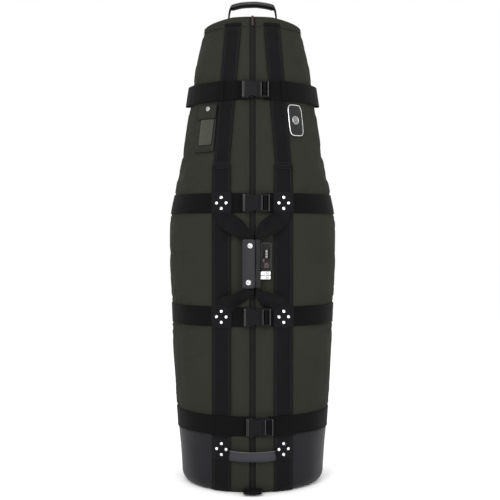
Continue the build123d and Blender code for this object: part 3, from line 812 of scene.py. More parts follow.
def side_edges(side, low, high):
    return lambda z: (side * low, side * high) if side > 0 else (side * high, side * low)


def web_side(side):
    def edges(z):
        inner, outer = web_edges(z)
        return (inner, outer) if side > 0 else (-outer, -inner)
    return edges


def web_rise(x, z):
    """The webbing lies on the cloth, and rises over the two straps that it covers."""
    rise = 0.0
    for zs in (STRAP_Z[1], STRAP_Z[2]):
        k = min(max((STRAP_HALF + 0.008 - abs(z - zs)) / 0.008, 0.0), 1.0)
        rise = max(rise, k)
    return 0.0008 + 0.0013 * rise


for side, label in SIDES:
    body = f"{label}_flap"
    lower = front_strip(f"{label}_web_low", steps(0.1475, 0.829, 200), web_side(side), web_rise, 0.0015, WEB,
                        body=body, wave=0.0005)
    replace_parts(lower, f"{label}_webbing")
    upper = front_strip(f"{label}_web_high", steps(0.817, 1.184, 120), web_side(side),
                        lambda x, z: 0.0008 + 0.0016 * min(max((0.840 - z) / 0.006, 0.0), 1.0), 0.0015, WEB,
                        body=body, wave=0.0005)
    root = front_strip(f"{label}_web_root", steps(0.002, 0.147, 60), web_side(side), 0.0012, 0.0015, WEB,
                       body="shell", wave=0.0004)
    if side < 0:
        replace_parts(root, "lower_webbing")
    lines = []
    for inset in (0.0025, 0.0060):
        for low, high in ((0.150, 0.415), (0.477, 0.700), (0.764, 0.826), (0.832, 0.990), (1.046, 1.182)):
            zs = steps(low, high, 40)
            for edge in (0, 1):
                xs = [side * (web_edges(z)[edge] + (inset if edge == 0 else -inset)) for z in zs]
                lines += front_stitches(xs, zs, lambda x, z: web_rise(x, z) + 0.0015 + (0.0014 if z > .83 and z < .84 else 0))
    for z in (0.820, 0.826, 1.176, 1.181, 0.8325):
        inner, outer = web_edges(z)
        xs = steps(side * (inner + 0.003), side * (outer - 0.003), 10)
        lines += front_stitches(xs, [z] * 11, 0.0042 if z < 0.835 else 0.0024)
    blocks(f"{label}_web_stitches", lines, THREAD, body)
    lines = []
    for edge in (0, 1):
        for inset in (0.0025, 0.0060):
            zs = steps(0.012, 0.145, 20)
            xs = [side * (web_edges(z)[edge] + (inset if edge == 0 else -inset)) for z in zs]
            lines += front_stitches(xs, zs, 0.0028)
    blocks(f"{label}_root_stitches", lines, THREAD, "shell")

    places = []
    for zs in (STRAP_Z[1], STRAP_Z[2]):
        corners = [(side * 78 * MM - 0.0255, zs - 0.0285), (side * 78 * MM + 0.0255, zs - 0.0285),
                   (side * 78 * MM + 0.0255, zs + 0.0285), (side * 78 * MM - 0.0255, zs + 0.0285)]
        cover = patch(f"{label}_patch_{round(zs * 1000)}", corners, 0.0036, 0.0009, PATCH_CLOTH, cells=(14, 16),
                      power=9)
        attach(cover, body)
        for dx, dz in ((-0.012, 0), (0.012, 0), (0, 0.0138), (0, -0.0138)):
            x, z = side * 0.078 + dx, zs + dz
            n = front_normal(x, z)
            places.append((front(x, z, 0.0042), n if n.y < 0 else -n))
    heads = studs(f"{label}_rivet_heads", places, 0.0039, 0.0022, SILVER, body)
    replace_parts(heads, f"{label}_rivets")
places = []
for side, label in SIDES:
    corners = [(side * 0.078 - 0.0245, 0.085), (side * 0.078 + 0.0245, 0.085), (side * 0.078 + 0.0245, 0.139),
               (side * 0.078 - 0.0245, 0.139)]
    cover = patch(f"{label}_root_patch", corners, 0.0024, 0.0009, PATCH_CLOTH, cells=(14, 16), power=9)
    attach(cover, "shell")
    for dx, dz in ((-0.012, 0), (0.012, 0), (0, 0.0138), (0, -0.0138)):
        x, z = side * 0.078 + dx, 0.112 + dz
        n = front_normal(x, z)
        places.append((front(x, z, 0.0034), n if n.y < 0 else -n))
heads = studs("root_rivet_heads", places, 0.0039, 0.0022, SILVER, "shell")
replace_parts(heads, "bottom_rivets")

# ------------------------------------------------------------------ zipper
ZIP_LOW = 0.012
for side, label in SIDES:
    tape = front_strip(f"{label}_tape", steps(0.148, 1.184, 160), side_edges(side, 0.0005, 0.0165), -0.0036, 0.0011,
                       TAPE, columns=8, body=f"{label}_flap")
    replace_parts(tape, f"{label}_zipper_tape")
    places = []
    z = 0.149 + (0.0011 if side > 0 else 0.0)
    while z < 1.183:
        places.append((front(side * 0.0017, z, -0.0026), (1, 0, 0), (0, -1, 0), (0.0019, 0.00075, 0.0016)))
        z += 0.0022
    teeth = blocks(f"{label}_coil", places, COIL, f"{label}_flap")
    edge = front_stitches([side * 0.0125] * 101, steps(0.150, 1.182, 100), 0.0004)
    edge += front_stitches([side * 0.0095] * 101, steps(0.150, 1.182, 100), 0.0004)
    blocks(f"{label}_zip_stitches", edge, GREEN_THREAD, f"{label}_flap")
tape = front_strip("root_tape", steps(ZIP_LOW, 0.146, 30), lambda z: (-0.0165, 0.0165), -0.0032, 0.0011, TAPE,
                   columns=12, body="shell")
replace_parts(tape, "lower_zipper_tape")
places = []
for side in (-1, 1):
    z = ZIP_LOW + 0.002 + (0.0011 if side > 0 else 0.0)
    while z < 0.146:
        places.append((front(side * 0.0017, z, -0.0022 + tuck(z)), (1, 0, 0), (0, -1, 0), (0.0019, 0.00075, 0.0016)))
        z += 0.0022
blocks("root_coil", places, COIL, "shell")
for side, label in SIDES:
    panel = front_strip(f"{label}_root_panel", steps(0.002, 0.1465, 50), side_edges(side, ZIP_EDGE, 0.056), -0.0012,
                        0.0016, GREEN, columns=16, body="shell", wave=0.0012)
    if side < 0:
        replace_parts(panel, "front_lower_panel")
    edge = front_stitches([side * 0.0115] * 31, steps(0.010, 0.145, 30), 0.0006)
    blocks(f"{label}_root_zip_stitches", edge, GREEN_THREAD, "shell")

# The folded end of webbing under the zipper.
profile = [(-0.150, 0.0115), (-0.170, 0.0120), (-0.182, 0.0128), (-0.1910, 0.0122), (-0.1945, 0.0085),
           (-0.1910, 0.0050), (-0.182, 0.0044), (-0.170, 0.0048), (-0.150, 0.0052)]
rows = []
for i in range(9):
    x = -0.023 + 0.046 * i / 8
    rows.append([Vector((x, y + 0.0010 * math.sin(i * 1.1), z + 0.0010 * math.cos(i * 0.9))) for y, z in profile])
tab = grid("bottom_tab", rows, WEB)
subdivide(tab, 1)
thicken(tab, 0.0018, bevel=0.0005, outward=0)
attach(tab, "shell")

# ------------------------------------------------------------------ boot, base and wheel housing
rows = []
boot_heights = [0.0035, 0.006, 0.009, 0.013, 0.018, 0.023, 0.028, 0.036] + steps(0.045, 0.1478, 26)
for z in boot_heights:
    row = []
    for j in range(181):
        t = -3 + 6 * j / 180
        p = ring(abs(t), z, 0.0, 1 if t >= 0 else -1)
        crease = 0.0010 * noise.noise(Vector((p.x * 16, p.y * 16, z * 20)))
        crease += 0.0016 * noise.noise(Vector((t * 5, z * 9, 5.0)))
        row.append(ring(abs(t), z, -0.0006 + tuck(z, p.y) + crease, 1 if t >= 0 else -1))
    rows.append(row)
boot = grid("boot", rows, VINYL)
bm = bmesh.new()
bm.from_mesh(boot.data)
gone = [f for f in bm.faces if (f.calc_center_median().z < 0.094 and f.calc_center_median().y > 0.0725)
        or (abs(f.calc_center_median().x) < 0.050 and f.calc_center_median().y < -0.1)]
bmesh.ops.delete(bm, geom=gone, context="FACES")
bm.to_mesh(boot.data)
bm.free()
thicken(boot, 0.0025, bevel=0.0006, outward=-1)
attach(boot, "shell")
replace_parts(boot, "lower_boot")
seam = []
for j in range(361):
    t = -3 + 6 * j / 360
    if abs(t) > front_t(0.106, 0.147):
        seam.append(t)
for half, keep in (("left", [t for t in seam if t < 0]), ("right", [t for t in seam if t > 0])):
    pts = [ring(abs(t), 0.1475, 0.0012, 1 if t >= 0 else -1) for t in keep]
    binding = tube(f"{half}_boot_binding", pts, 0.0016, BINDING, body="shell")
    pts = [ring(abs(t), 0.1425, 0.0002, 1 if t >= 0 else -1) for t in keep]
    outs = [Vector((p.x, p.y, 0)) for p in pts]
    blocks(f"{half}_boot_stitches", stitch_run(pts, outs), THREAD, "shell")

tray = bevelled("base_tray", PLASTIC, width=0.0012)
for v in tray.data.vertices:
    r = math.hypot(v.co.x, v.co.y)
    if r > 0.05:
        k = 1 + (tuck(v.co.z, v.co.y) - 0.0015) / r
        v.co.x *= k
        v.co.y *= k
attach(tray, "shell")
for node, material, width, body in (
        ("wheel_housing", PLASTIC, 0.0016, "shell"), ("skid_rails", PLASTIC, 0.0014, "shell"),
        ("handle_anchors", WEB, 0.0008, "shell"), ("buckle_sockets", ACETAL, 0.0009, "left_flap"),
        ("lock_body", PLASTIC, 0.0008, "right_flap"), ("upper_slider", STEEL, 0.0006, "upper_zip"),
        ("lower_slider", STEEL, 0.0006, "lower_zip"), ("key_cylinder", BRASS, 0.0003, "key"),
        ("lock_button", RED_KEY, 0.0004, "button"),
        ("left_wheel_tyre", RUBBER, 0.0035, "left_wheel"), ("right_wheel_tyre", RUBBER, 0.0035, "right_wheel"),
        ("left_wheel_hub", PLASTIC, 0.0010, "left_wheel"), ("right_wheel_hub", PLASTIC, 0.0010, "right_wheel"),
        ("wheel_axles", STEEL, 0.0005, "shell"), ("wheel_bearings", STEEL, 0.0004, "shell"),
        ("back_stiffener", NATURAL, 0.0006, "shell"),
        ("buckle_plug_1", ACETAL, 0.0009, "plug_1"), ("buckle_plug_2", ACETAL, 0.0009, "plug_2"),
        ("buckle_plug_3", ACETAL, 0.0009, "plug_3"), ("buckle_plug_4", ACETAL, 0.0009, "plug_4"),
        ("lock_dial_1", ENAMEL, 0.0003, "dial_1"), ("lock_dial_2", ENAMEL, 0.0003, "dial_2"),
        ("lock_dial_3", ENAMEL, 0.0003, "dial_3")):
    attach(bevelled(node, material, width=width, segments=2), body)

# Webbing looped through each buckle's ladder bars.
for index, z in enumerate(STRAP_Z):
    cx = BUCKLE_X[index]
    n = front_normal(0.0, z)
    n = n if n.y < 0 else -n
    up = Vector((1, 0, 0)).cross(n)
    base = front(0.0, z, 0.0018) + n * 0.0006
    base.x = cx
    run = [(0.036, 0.0002), (0.031, 0.0018), (0.0275, 0.0075), (0.0262, 0.0108), (0.0225, 0.0114), (0.0188, 0.0108),
           (0.0178, 0.0075), (0.0176, 0.0035)]
    rows = []
    for a, h in run:
        rows.append([base + Vector((a, 0, 0)) + n * h + up * (-0.0168 + 0.0336 * k / 6) for k in range(7)])
    loop = grid(f"buckle_loop_{index + 1}", rows, STRAP)
    subdivide(loop, 1)
    thicken(loop, 0.0012, bevel=0.0003, outward=0)
    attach(loop, f"plug_{index + 1}")

# Raised bars across each buckle: the socket's end wall and mouth, and the plug's ladder bars. They are coloured
# lighter grey than the black buckle as painted highlights that stand for the glints along these edges.
for index, z in enumerate(STRAP_Z):
    n = front_normal(0.0, z)
    n = n if n.y < 0 else -n
    up = Vector((1, 0, 0)).cross(n)
    base = front(0.0, z, 0.0018) + n * 0.0006
    base.x = BUCKLE_X[index]
    for part, body, runs in (("socket", "left_flap", ((-0.0325, 0.0215), (-0.0292, 0.0205))),
                             ("plug", f"plug_{index + 1}", ((0.0142, 0.0180), (0.0322, 0.0205)))):
        rise = 0.0121 if part == "socket" else 0.0106
        glint_rails = [(base + Vector((a, 0, 0)) + n * rise, up, n, (half, 0.0007, 0.0007)) for a, half in runs]
        blocks(f"buckle_{part}_bars_{index + 1}", glint_rails, GREY_TRIM_AND_GLINT, body)

# ------------------------------------------------------------------ lock trim
x0, x1, z0, z1, r = 0.0226, 0.0464, 0.5626, 0.6314, 0.0036
outline_pts = []
for cx, cz, a0 in ((x1 - r, z1 - r, 0), (x0 + r, z1 - r, 90), (x0 + r, z0 + r, 180), (x1 - r, z0 + r, 270)):
    for k in range(7):
        a = math.radians(a0 + 15 * k)
        outline_pts.append(Vector((cx + r * math.cos(a), -0.1841, cz + r * math.sin(a))))
# The frame is a real raised rim round the lock; its lighter grey against the darker lock body is partly a painted
# highlight standing for the glint along it.
trim = tube("lock_frame", outline_pts, 0.0007, GREY_TRIM_AND_GLINT, closed=True, body="right_flap")
window = []
for cx, cz, a0 in ((0.0408, 0.6146, 0), (0.0292, 0.6146, 90), (0.0292, 0.5934, 180), (0.0408, 0.5934, 270)):
    for k in range(5):
        a = math.radians(a0 + 22.5 * k)
        window.append(Vector((cx + 0.0012 * math.cos(a), -0.1842, cz + 0.0012 * math.sin(a))))
tube("dial_window", window, 0.0006, ACETAL, closed=True, body="right_flap")
blocks("dial_marks", [(Vector((0.0290, -0.1841, z)), (1, 0, 0), (0, -1, 0), (0.0012, 0.0004, 0.0004))
                      for z in (0.597, 0.604, 0.611)], GREY_TRIM_AND_GLINT, "right_flap")

for number, node in enumerate(("lock_dial_1", "lock_dial_2", "lock_dial_3"), start=1):
    low, high = extent(node)
    mid = (low + high) / 2
    faces = []
    for k in range(10):
        turn = math.radians(36 * k)
        out = Vector((0, -math.cos(turn), math.sin(turn)))
        faces.append((mid + out * ((high.y - low.y) / 2 - 0.0002), (1, 0, 0), out, (0.0024, 0.0010, 0.0005)))
    blocks(f"dial_faces_{number}", faces, WHITE, f"dial_{number}")

# Each pull: a satin plate with a thin bar back to its slider and a duller inset.
for end, z0, z1 in (("upper", 0.5513, 0.5605), ("lower", 0.5409, 0.5501)):
    low, high = extent(f"{end}_pull")
    y = low.y
    plate = front_plate(f"{end}_pull_plate", 0.0196, 0.0448, z0, z1, high.y - 0.0002, high.y - low.y - 0.0004, 0.0020,
                        SILVER, 0.0002, cells=(14, 12))
    z = (low.z + high.z) / 2
    bar = sweep(f"{end}_pull_bar", [Vector((low.x + (0.0225 - low.x) * k / 8, (low.y + high.y) / 2, z))
                                    for k in range(9)], [(0.0022, 0.0009)] * 9, SILVER, up=(0, 0, 1), sides=12)
    inset = front_plate(f"{end}_pull_inset", 0.0330, 0.0436, z0 + 0.0012, z1 - 0.0012, y + 0.0001, 0.0005, 0.0010,
                        SNAP, 0.0002, cells=(8, 8))
    for obj in (plate, bar, inset):
        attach(obj, f"{end}_zip_pull")
    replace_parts(plate, f"{end}_pull")

guard = front_plate("key_plate", 0.0288, 0.0402, 0.5690, 0.5812, -0.1838, 0.0004, 0.002, RED_KEY, 0.0, cells=(8, 10))
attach(guard, "right_flap")

# ------------------------------------------------------------------ cap, piping and top handle
CAP_EDGE = 0.0055


def crown(x):
    """How much higher the cap's edge stands near the handle than at the sides."""
    k = min(max((0.122 - abs(x)) / 0.070, 0.0), 1.0)
    return 0.0105 * k


rows = [full_ring(1.1848, -0.0014), [p + Vector((0, 0, 0.0040)) for p in full_ring(1.186, -0.0012)]]
for k in range(8):
    a = math.pi / 2 * k / 7
    rows.append([p + Vector((0, 0, 0.0108 + crown(p.x) + CAP_EDGE * math.sin(a)))
                 for p in full_ring(1.186, -0.0010 - CAP_EDGE * (1 - math.cos(a)))])
for k in (0.95, 0.85, 0.7, 0.5, 0.3, 0.12, 0.01):
    rows.append([Vector((p.x * k, p.y * k, p.z + 0.0025 * (1 - k * k)
                         + 0.0008 * noise.noise(Vector((p.x * k * 30, p.y * k * 30, 1.0)))))
                 for p in rows[9]])
cap = grid("cap", rows, GREEN, closed=True)
thicken(cap, 0.002, outward=-1)
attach(cap, "shell")
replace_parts(cap, "top_cap")
piping = tube("cap_piping_tube", full_ring(1.1852, -0.0010, 90), 0.0006, GREEN_BINDING, closed=True, body="shell")
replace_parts(piping, "cap_piping")
for side, label in SIDES:
    stub_rows = []
    for z in steps(1.1875, 1.1965, 4):
        stub_rows.append([front(side * (0.029 + 0.042 * j / 8), min(z, 1.186), 0.0016) + Vector((0, 0, z - 1.186))
                          for j in range(9)])
    stub = thicken(grid(f"{label}_web_end", stub_rows if side > 0 else stub_rows[::-1], WEB), 0.0014, outward=0)
    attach(stub, "shell")
pts = full_ring(1.1905, 0.0010, 90)
blocks("cap_stitches", stitch_run(pts, [Vector((p.x, p.y, 0)) for p in pts]), GREEN_THREAD, "shell")

for side, label in SIDES:
    run = [(0.0622, 1.2140), (0.0632, 1.2190), (0.0638, 1.2280), (0.0630, 1.2400), (0.0608, 1.2520), (0.0575, 1.2600),
           (0.0520, 1.2650)]
    widths = [0.018, 0.019, 0.022, 0.026, 0.028, 0.028, 0.027]
    course, breadths = [], []
    for i in range(len(run) - 1):
        for k in range(4):
            t = k / 4
            course.append(Vector((side * run[i][0], 0, run[i][1])).lerp(Vector((side * run[i + 1][0], 0, run[i + 1][1])), t))
            breadths.append(widths[i] + (widths[i + 1] - widths[i]) * t)
    course.append(Vector((side * run[-1][0], 0, run[-1][1])))
    breadths.append(widths[-1])
    leg = ribbon(f"{label}_handle_leg", course, [(0, 1, 0)] * len(course), breadths, 0.0038, STRAP)
    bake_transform(leg)
path, sizes = [], []
for i in range(25):
    x = -0.0585 + 0.117 * i / 24
    k = abs(x) / 0.0585
    path.append(Vector((x, 0.0008 * math.sin(i * 0.8), 1.2688 - 0.0095 * k ** 2.2)))
    end = min(1.0, (1 - k) / 0.06)
    sizes.append((0.0135 + 0.0005 * end, 0.0038 + 0.0034 * math.sqrt(end)))
arch = sweep("handle_arch", path, sizes, LEATHER, up=(0, 1, 0), sides=20, power=3.0)
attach(arch, "top_grab")
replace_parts(arch, "top_handle")
for edge in (-1, 1):
    pts = [p + Vector((0, edge * (w + 0.0005), 0)) for p, (w, t) in zip(path, sizes)]
    tube(f"handle_piping_{'front' if edge < 0 else 'back'}", pts, 0.0012, GREY_TRIM_AND_GLINT, body="top_grab")
    pts = [p + Vector((0, edge * (w - 0.004), t * 0.97)) for p, (w, t) in zip(path, sizes)]
    blocks(f"handle_stitches_{'front' if edge < 0 else 'back'}", stitch_run(pts, [Vector((0, 0, 1))] * len(pts)),
           THREAD, "top_grab")

stub_rows = []
for z in steps(1.1855, 1.2075, 8):
    stub_rows.append([front(-0.0080 + 0.016 * j / 8, 1.186, 0.0002 - 0.8 * max(z - 1.2045, 0.0)) + Vector((0, 0, z - 1.186))
                      for j in range(9)])
stub = thicken(grid("zip_end", stub_rows, TAPE), 0.0012, outward=0)
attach(stub, "shell")
path = [Vector((0, -0.1212, 1.1880)), Vector((0, -0.1216, 1.1950)), Vector((0, -0.1214, 1.2030)),
        Vector((0, -0.1200, 1.2100)), Vector((0, -0.1176, 1.2145)), Vector((0, -0.1150, 1.2120))]
stop = sweep("zip_stop", path, [(0.0030, 0.0012)] * len(path), BROWN, up=(1, 0, 0), sides=12, power=3.5)
subdivide(stop, 1)
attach(stop, "shell")

# ------------------------------------------------------------------ bottom handle
path, sizes = [], []
for i in range(25):
    x = -0.058 + 0.116 * i / 24
    k = abs(x) / 0.058
    path.append(Vector((x, -0.1862 + 0.0085 * k * k, 0.0965 + 0.0030 * k * k)))
    sizes.append((0.0108, 0.0019 + 0.0010 * (1 - k ** 4)))
band = sweep("bottom_handle_band", path, sizes, HANDLE_VINYL, up=(0, 0, 1), sides=20, power=3.2)
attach(band, "bottom_grab")
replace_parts(band, "bottom_handle")
pts = [p + Vector((0, 0, w + 0.0004)) for p, (w, t) in zip(path, sizes)]
tube("bottom_handle_piping", pts, 0.0014, GREY_TRIM_AND_GLINT, body="bottom_grab")
pts = [p + Vector((0, 0, -w - 0.0003)) for p, (w, t) in zip(path, sizes)]
tube("bottom_handle_edge", pts, 0.0011, HANDLE_VINYL, body="bottom_grab")
for dz in (-0.0075, 0.0075):
    pts = [p + Vector((0, -t * 0.97, dz)) for p, (w, t) in zip(path, sizes)]
    blocks(f"bottom_handle_stitches_{'low' if dz < 0 else 'high'}",
           stitch_run(pts, [Vector((0, -1, 0))] * len(pts)), THREAD, "bottom_grab")

# ------------------------------------------------------------------ haul handles and leather grips
def haul(side, label, grip_x, grip_w, low_twist):
    """One haul handle: out from under the upper patch, through the grip, and back under the lower patch."""
    s = side
    run = [
        # x, y, z, the way across, width, turn out of the surface
        (s * 0.0790, None, 0.7100, (1, 0, 0.0), 0.045, 0.0),
        (s * 0.0765, None, 0.7000, (1, 0, s * -0.25), 0.046, 0.0),
        (s * 0.0690, None, 0.6910, (0.75, 0, s * -0.66), 0.047, 0.0),
        (s * 0.0580, -0.1815, 0.6830, (0.60, 0, s * -0.80), 0.047, 0.10),
        (s * 0.0460, -0.1870, 0.6750, (0.58, 0, s * -0.81), 0.046, 0.25),
        (s * 0.0340, -0.1915, 0.6670, (0.62, 0, s * -0.78), 0.043, 0.30),
        (s * 0.0230 + grip_x * 0.25, -0.1945, 0.6580, (0.75, 0, s * -0.66), 0.037, 0.20),
        (grip_x + s * 0.004, -0.1958, 0.6480, (0.95, 0, s * -0.31), grip_w + 0.006, 0.05),
        (grip_x, -0.1962, 0.6380, (1, 0, 0), grip_w, 0.0),
        (grip_x, -0.1962, 0.6100, (1, 0, 0), grip_w, 0.0),
        (grip_x, -0.1962, 0.5780, (1, 0, 0), grip_w, 0.0),
        (grip_x, -0.1962, 0.5450, (1, 0, 0), grip_w, 0.0),
        (grip_x, -0.1962, 0.5190, (1, 0, 0), grip_w, 0.0),
        (grip_x + s * 0.003, -0.1958, 0.5090, (0.97, 0, s * 0.25), grip_w + 0.005, 0.0),
        (s * 0.0240 + grip_x * 0.25, -0.1945, 0.5000, (0.76, 0, s * 0.65), 0.036, low_twist * 0.6),
        (s * 0.0350, -0.1920, 0.4930, (0.60, 0, s * 0.80), 0.040, low_twist),
        (s * 0.0470, -0.1880, 0.4870, (0.56, 0, s * 0.83), 0.044, low_twist * 0.8),
        (s * 0.0590, -0.1830, 0.4800, (0.62, 0, s * 0.78), 0.046, low_twist * 0.3),
        (s * 0.0690, None, 0.4730, (0.80, 0, s * 0.60), 0.046, 0.0),
        (s * 0.0760, None, 0.4650, (1, 0, s * 0.20), 0.045, 0.0),
        (s * 0.0780, None, 0.4560, (1, 0, 0), 0.044, 0.0),
    ]
    columns = 10
    rows = []
    for x, y, z, across, width, turn in run:
        a = Vector(across).normalized()
        bow = Vector((0, -1, 0))
        a = (a + bow * turn * s).normalized()
        row = []
        for j in range(columns + 1):
            u = j / columns - 0.5
            if y is None:
                p = front(x, z, 0.0)
                q = Vector((x, 0, z)) + a * width * u
                flat = front(q.x, q.z, 0.0038)
                row.append(flat)
            else:
                p = Vector((x, y, z)) + a * width * u
                p.y -= 0.0016 * math.cos(u * 5.0) * (1 if turn else 0.3)
                p.y = min(p.y, front(p.x, p.z, 0.0042).y)
                row.append(p)
        rows.append(row)
    # the same run, filled in smoothly between the given places
    fine = []
    for i in range(len(rows) - 1):
        before, lo, hi, after = rows[max(i - 1, 0)], rows[i], rows[i + 1], rows[min(i + 2, len(rows) - 1)]
        for k in range(5):
            t = k / 5
            line = []
            for b, p, q, c in zip(before, lo, hi, after):
                m0, m1 = (q - b) * 0.5, (c - p) * 0.5
                line.append(p * (2 * t**3 - 3 * t**2 + 1) + m0 * (t**3 - 2 * t**2 + t)
                            + q * (3 * t**2 - 2 * t**3) + m1 * (t**3 - t**2))
            fine.append(line)
    fine.append(rows[-1])
    fine = [[p + Vector((0, noise.noise(Vector((p.x * 45, p.z * 45, 3.3 * s))) * 0.0010, 0)) for p in line]
            for line in fine]
    web = grid(f"{label}_haul_web", fine[::-1], WEB)
    thicken(web, 0.0017, bevel=0.0005, outward=0)
    edges = []
    for column in (1, columns - 1):
        pts = [line[column] + Vector((0, -0.0010, 0)) for line in fine]
        edges += stitch_run(pts, [Vector((0, -1, 0))] * len(pts))
    threads = blocks(f"{label}_haul_stitches", edges, WEB, f"{label}_haul")
    threads.parent = None
    for obj in (web, threads):
        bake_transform(obj)
    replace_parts(web, f"{label}_haul_handle")


haul(-1, "left", -0.0100, 0.0260, 0.85)
haul(1, "right", 0.0138, 0.0115, 0.35)


def leather_block(name, x0, x1, y0, y1, z0, z1, material, body, power=4.5, pinch=0.0008):
    path, sizes = [], []
    for i in range(41):
        v = i / 40
        z = z0 + (z1 - z0) * v
        end = min(v, 1 - v) * (z1 - z0)
        round_in = math.sqrt(max(1 - max(1 - end / 0.0025, 0.0) ** 2, 0.0))
        wobble = 0.0005 * math.sin(v * 9.0 + x0 * 300)
        path.append(Vector(((x0 + x1) / 2 + wobble, (y0 + y1) / 2, z)))
        sizes.append(((x1 - x0) / 2 - 0.0025 * (1 - round_in) - pinch * math.sin(math.pi * v),
                      (y1 - y0) / 2 - 0.0025 * (1 - round_in) + 0.0004 * math.sin(v * 14 + x1 * 200)))
    obj = sweep(name, path, sizes, material, up=(1, 0, 0), sides=28, power=power)
    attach(obj, body)
    return obj


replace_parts(leather_block("left_grip_shown", -0.0245, 0.0052, -0.2030, -0.1905, 0.519, 0.641, LEATHER, "left_haul"),
            "left_grip_wrap")
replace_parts(leather_block("right_grip_shown", 0.0060, 0.0208, -0.2030, -0.1905, 0.519, 0.641, LEATHER, "right_haul"),
            "right_grip_wrap")


cover = front_plate("snap_flap", -0.0250, 0.0056, 0.5195, 0.6405, -0.2034, 0.0016, 0.004, LIGHT_LEATHER, 0.0012)
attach(cover, "snap_flap")
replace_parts(cover, "grip_snap_flap")
snaps = studs("grip_snaps", [(Vector((-0.0060, -0.2060, 0.625)), (0, -1, 0)),
                             (Vector((-0.0100, -0.2060, 0.534)), (0, -1, 0))], 0.0068, 0.0036, SNAP, "snap_flap")
loop = []
for cx, cz, a0 in ((0.0026 - 0.003, 0.6375 - 0.003, 0), (-0.0220 + 0.003, 0.6375 - 0.003, 90),
                   (-0.0220 + 0.003, 0.5225 + 0.003, 180), (0.0026 - 0.003, 0.5225 + 0.003, 270)):
    for k in range(5):
        a = math.radians(a0 + 22.5 * k)
        loop.append(Vector((cx + 0.003 * math.cos(a), -0.2058, cz + 0.003 * math.sin(a))))
loop.append(loop[0])
loop = [Vector((p.x, -0.2034 - 0.0016 - 0.0012 * (1 - ((p.x + 0.0097) / 0.0153) ** 2) - 0.0001, p.z)) for p in loop]
dense = [loop[i].lerp(loop[i + 1], k / 4) for i in range(len(loop) - 1) for k in range(4)] + [loop[-1]]
blocks("snap_flap_stitches", stitch_run(dense, [Vector((0, -1, 0))] * len(dense), length=0.0024, gap=0.0012), THREAD,
       "snap_flap")
for x in (0.0080, 0.0188):
    pts = [Vector((x, -0.20285, z)) for z in steps(0.5225, 0.6375, 20)]
    blocks(f"right_grip_stitches_{round(x * 10000)}", stitch_run(pts, [Vector((0, -1, 0))] * 21, length=0.0024,
           gap=0.0012), THREAD, "right_haul")

# ------------------------------------------------------------------ ID pocket
pocket = patch("id_pocket_body", leaning(-0.120, 0.922, 0.052, 0.118, 0.005), 0.0010, 0.0012, GREEN, cells=(20, 40),
               power=14, puff=0.0016)
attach(pocket, "left_flap")
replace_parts(pocket, "id_pocket")
pane = patch("id_pane", leaning(-0.1185, 0.916, 0.036, 0.072, 0.004), 0.0034, 0.0006, CLEAR, cells=(14, 26), power=12,
             puff=0.0006)
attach(pane, "left_flap")
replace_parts(pane, "id_window")


def patch_outline(corners, off, power=14, count=88, shrink=0.0):
    """A closed run round the edge of a patch on the front."""
    (x0, z0), (x1, z1), (x2, z2), (x3, z3) = corners
    mx, mz = (x0 + x1 + x2 + x3) / 4, (z0 + z1 + z2 + z3) / 4
    pts = []
    for i in range(count):
        a = 2 * math.pi * i / count
        c, s = math.cos(a), math.sin(a)
        u = math.copysign(abs(c) ** (2 / power), c) * 0.5 + 0.5
        v = math.copysign(abs(s) ** (2 / power), s) * 0.5 + 0.5
        x = (x0 * (1 - u) + x1 * u) * (1 - v) + (x3 * (1 - u) + x2 * u) * v
        z = (z0 * (1 - u) + z1 * u) * (1 - v) + (z3 * (1 - u) + z2 * u) * v
        x, z = mx + (x - mx) * (1 - shrink), mz + (z - mz) * (1 - shrink)
        pts.append(front(x, z, off))
    return pts


tube("id_pocket_binding", patch_outline(leaning(-0.120, 0.922, 0.052, 0.118, 0.005), 0.0014), 0.0012, BINDING,
     closed=True, body="left_flap")
tube("id_pane_binding", patch_outline(leaning(-0.1185, 0.916, 0.036, 0.072, 0.004), 0.0040), 0.0009, BINDING,
     closed=True, body="left_flap")
lines = []
for z in (0.8665, 0.8700):
    xs = steps(-0.148, -0.101, 16)
    lines += front_stitches(xs, [z] * 17, 0.0040)
blocks("id_pocket_stitches", lines, THREAD, "left_flap")
flap = patch("id_flap_shown", leaning(-0.117, 0.966, 0.050, 0.037, 0.002), 0.0044, 0.0014, GREEN_BINDING, cells=(18, 14),
             power=10, puff=0.0008)
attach(flap, "id_cover")
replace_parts(flap, "id_flap")
tube("id_flap_binding", patch_outline(leaning(-0.117, 0.966, 0.050, 0.037, 0.002), 0.0052, power=10), 0.0011, BINDING,
     closed=True, body="id_cover")
n = front_normal(-0.113, 0.973)
snap = studs("id_snap", [(front(-0.113, 0.973, 0.0062), n if n.y < 0 else -n)], 0.0062, 0.0028, SNAP, "id_cover")

# ------------------------------------------------------------------ badge
plate = patch("badge_plate", leaning(0.110, 0.944, 0.033, 0.077, -0.0038), 0.0012, 0.0022, ENAMEL, cells=(22, 36),
              power=5, puff=0.0008)
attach(plate, "right_flap")
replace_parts(plate, "badge")
rim = tube("badge_rim", patch_outline(leaning(0.110, 0.944, 0.0345, 0.0785, -0.0038), 0.0026, power=5), 0.0012, SILVER,
           closed=True, body="right_flap")
n = front_normal(0.110, 0.944)
n = n if n.y < 0 else -n
centre = front(0.110, 0.944, 0.0044)
side_way = n.orthogonal().normalized()
other_way = n.cross(side_way)
ringpts = [centre + (side_way * math.cos(a) + other_way * math.sin(a)) * 0.0095
           for a in (2 * math.pi * k / 40 for k in range(40))]
tube("badge_ring", ringpts, 0.0008, SILVER, closed=True, body="right_flap")
dots = [(centre, n)] + [(centre + (side_way * math.cos(a) + other_way * math.sin(a)) * 0.0052, n)
                        for a in (2 * math.pi * k / 6 for k in range(6))]
studs("badge_dots", dots, 0.0014, 0.0010, SILVER, "right_flap")

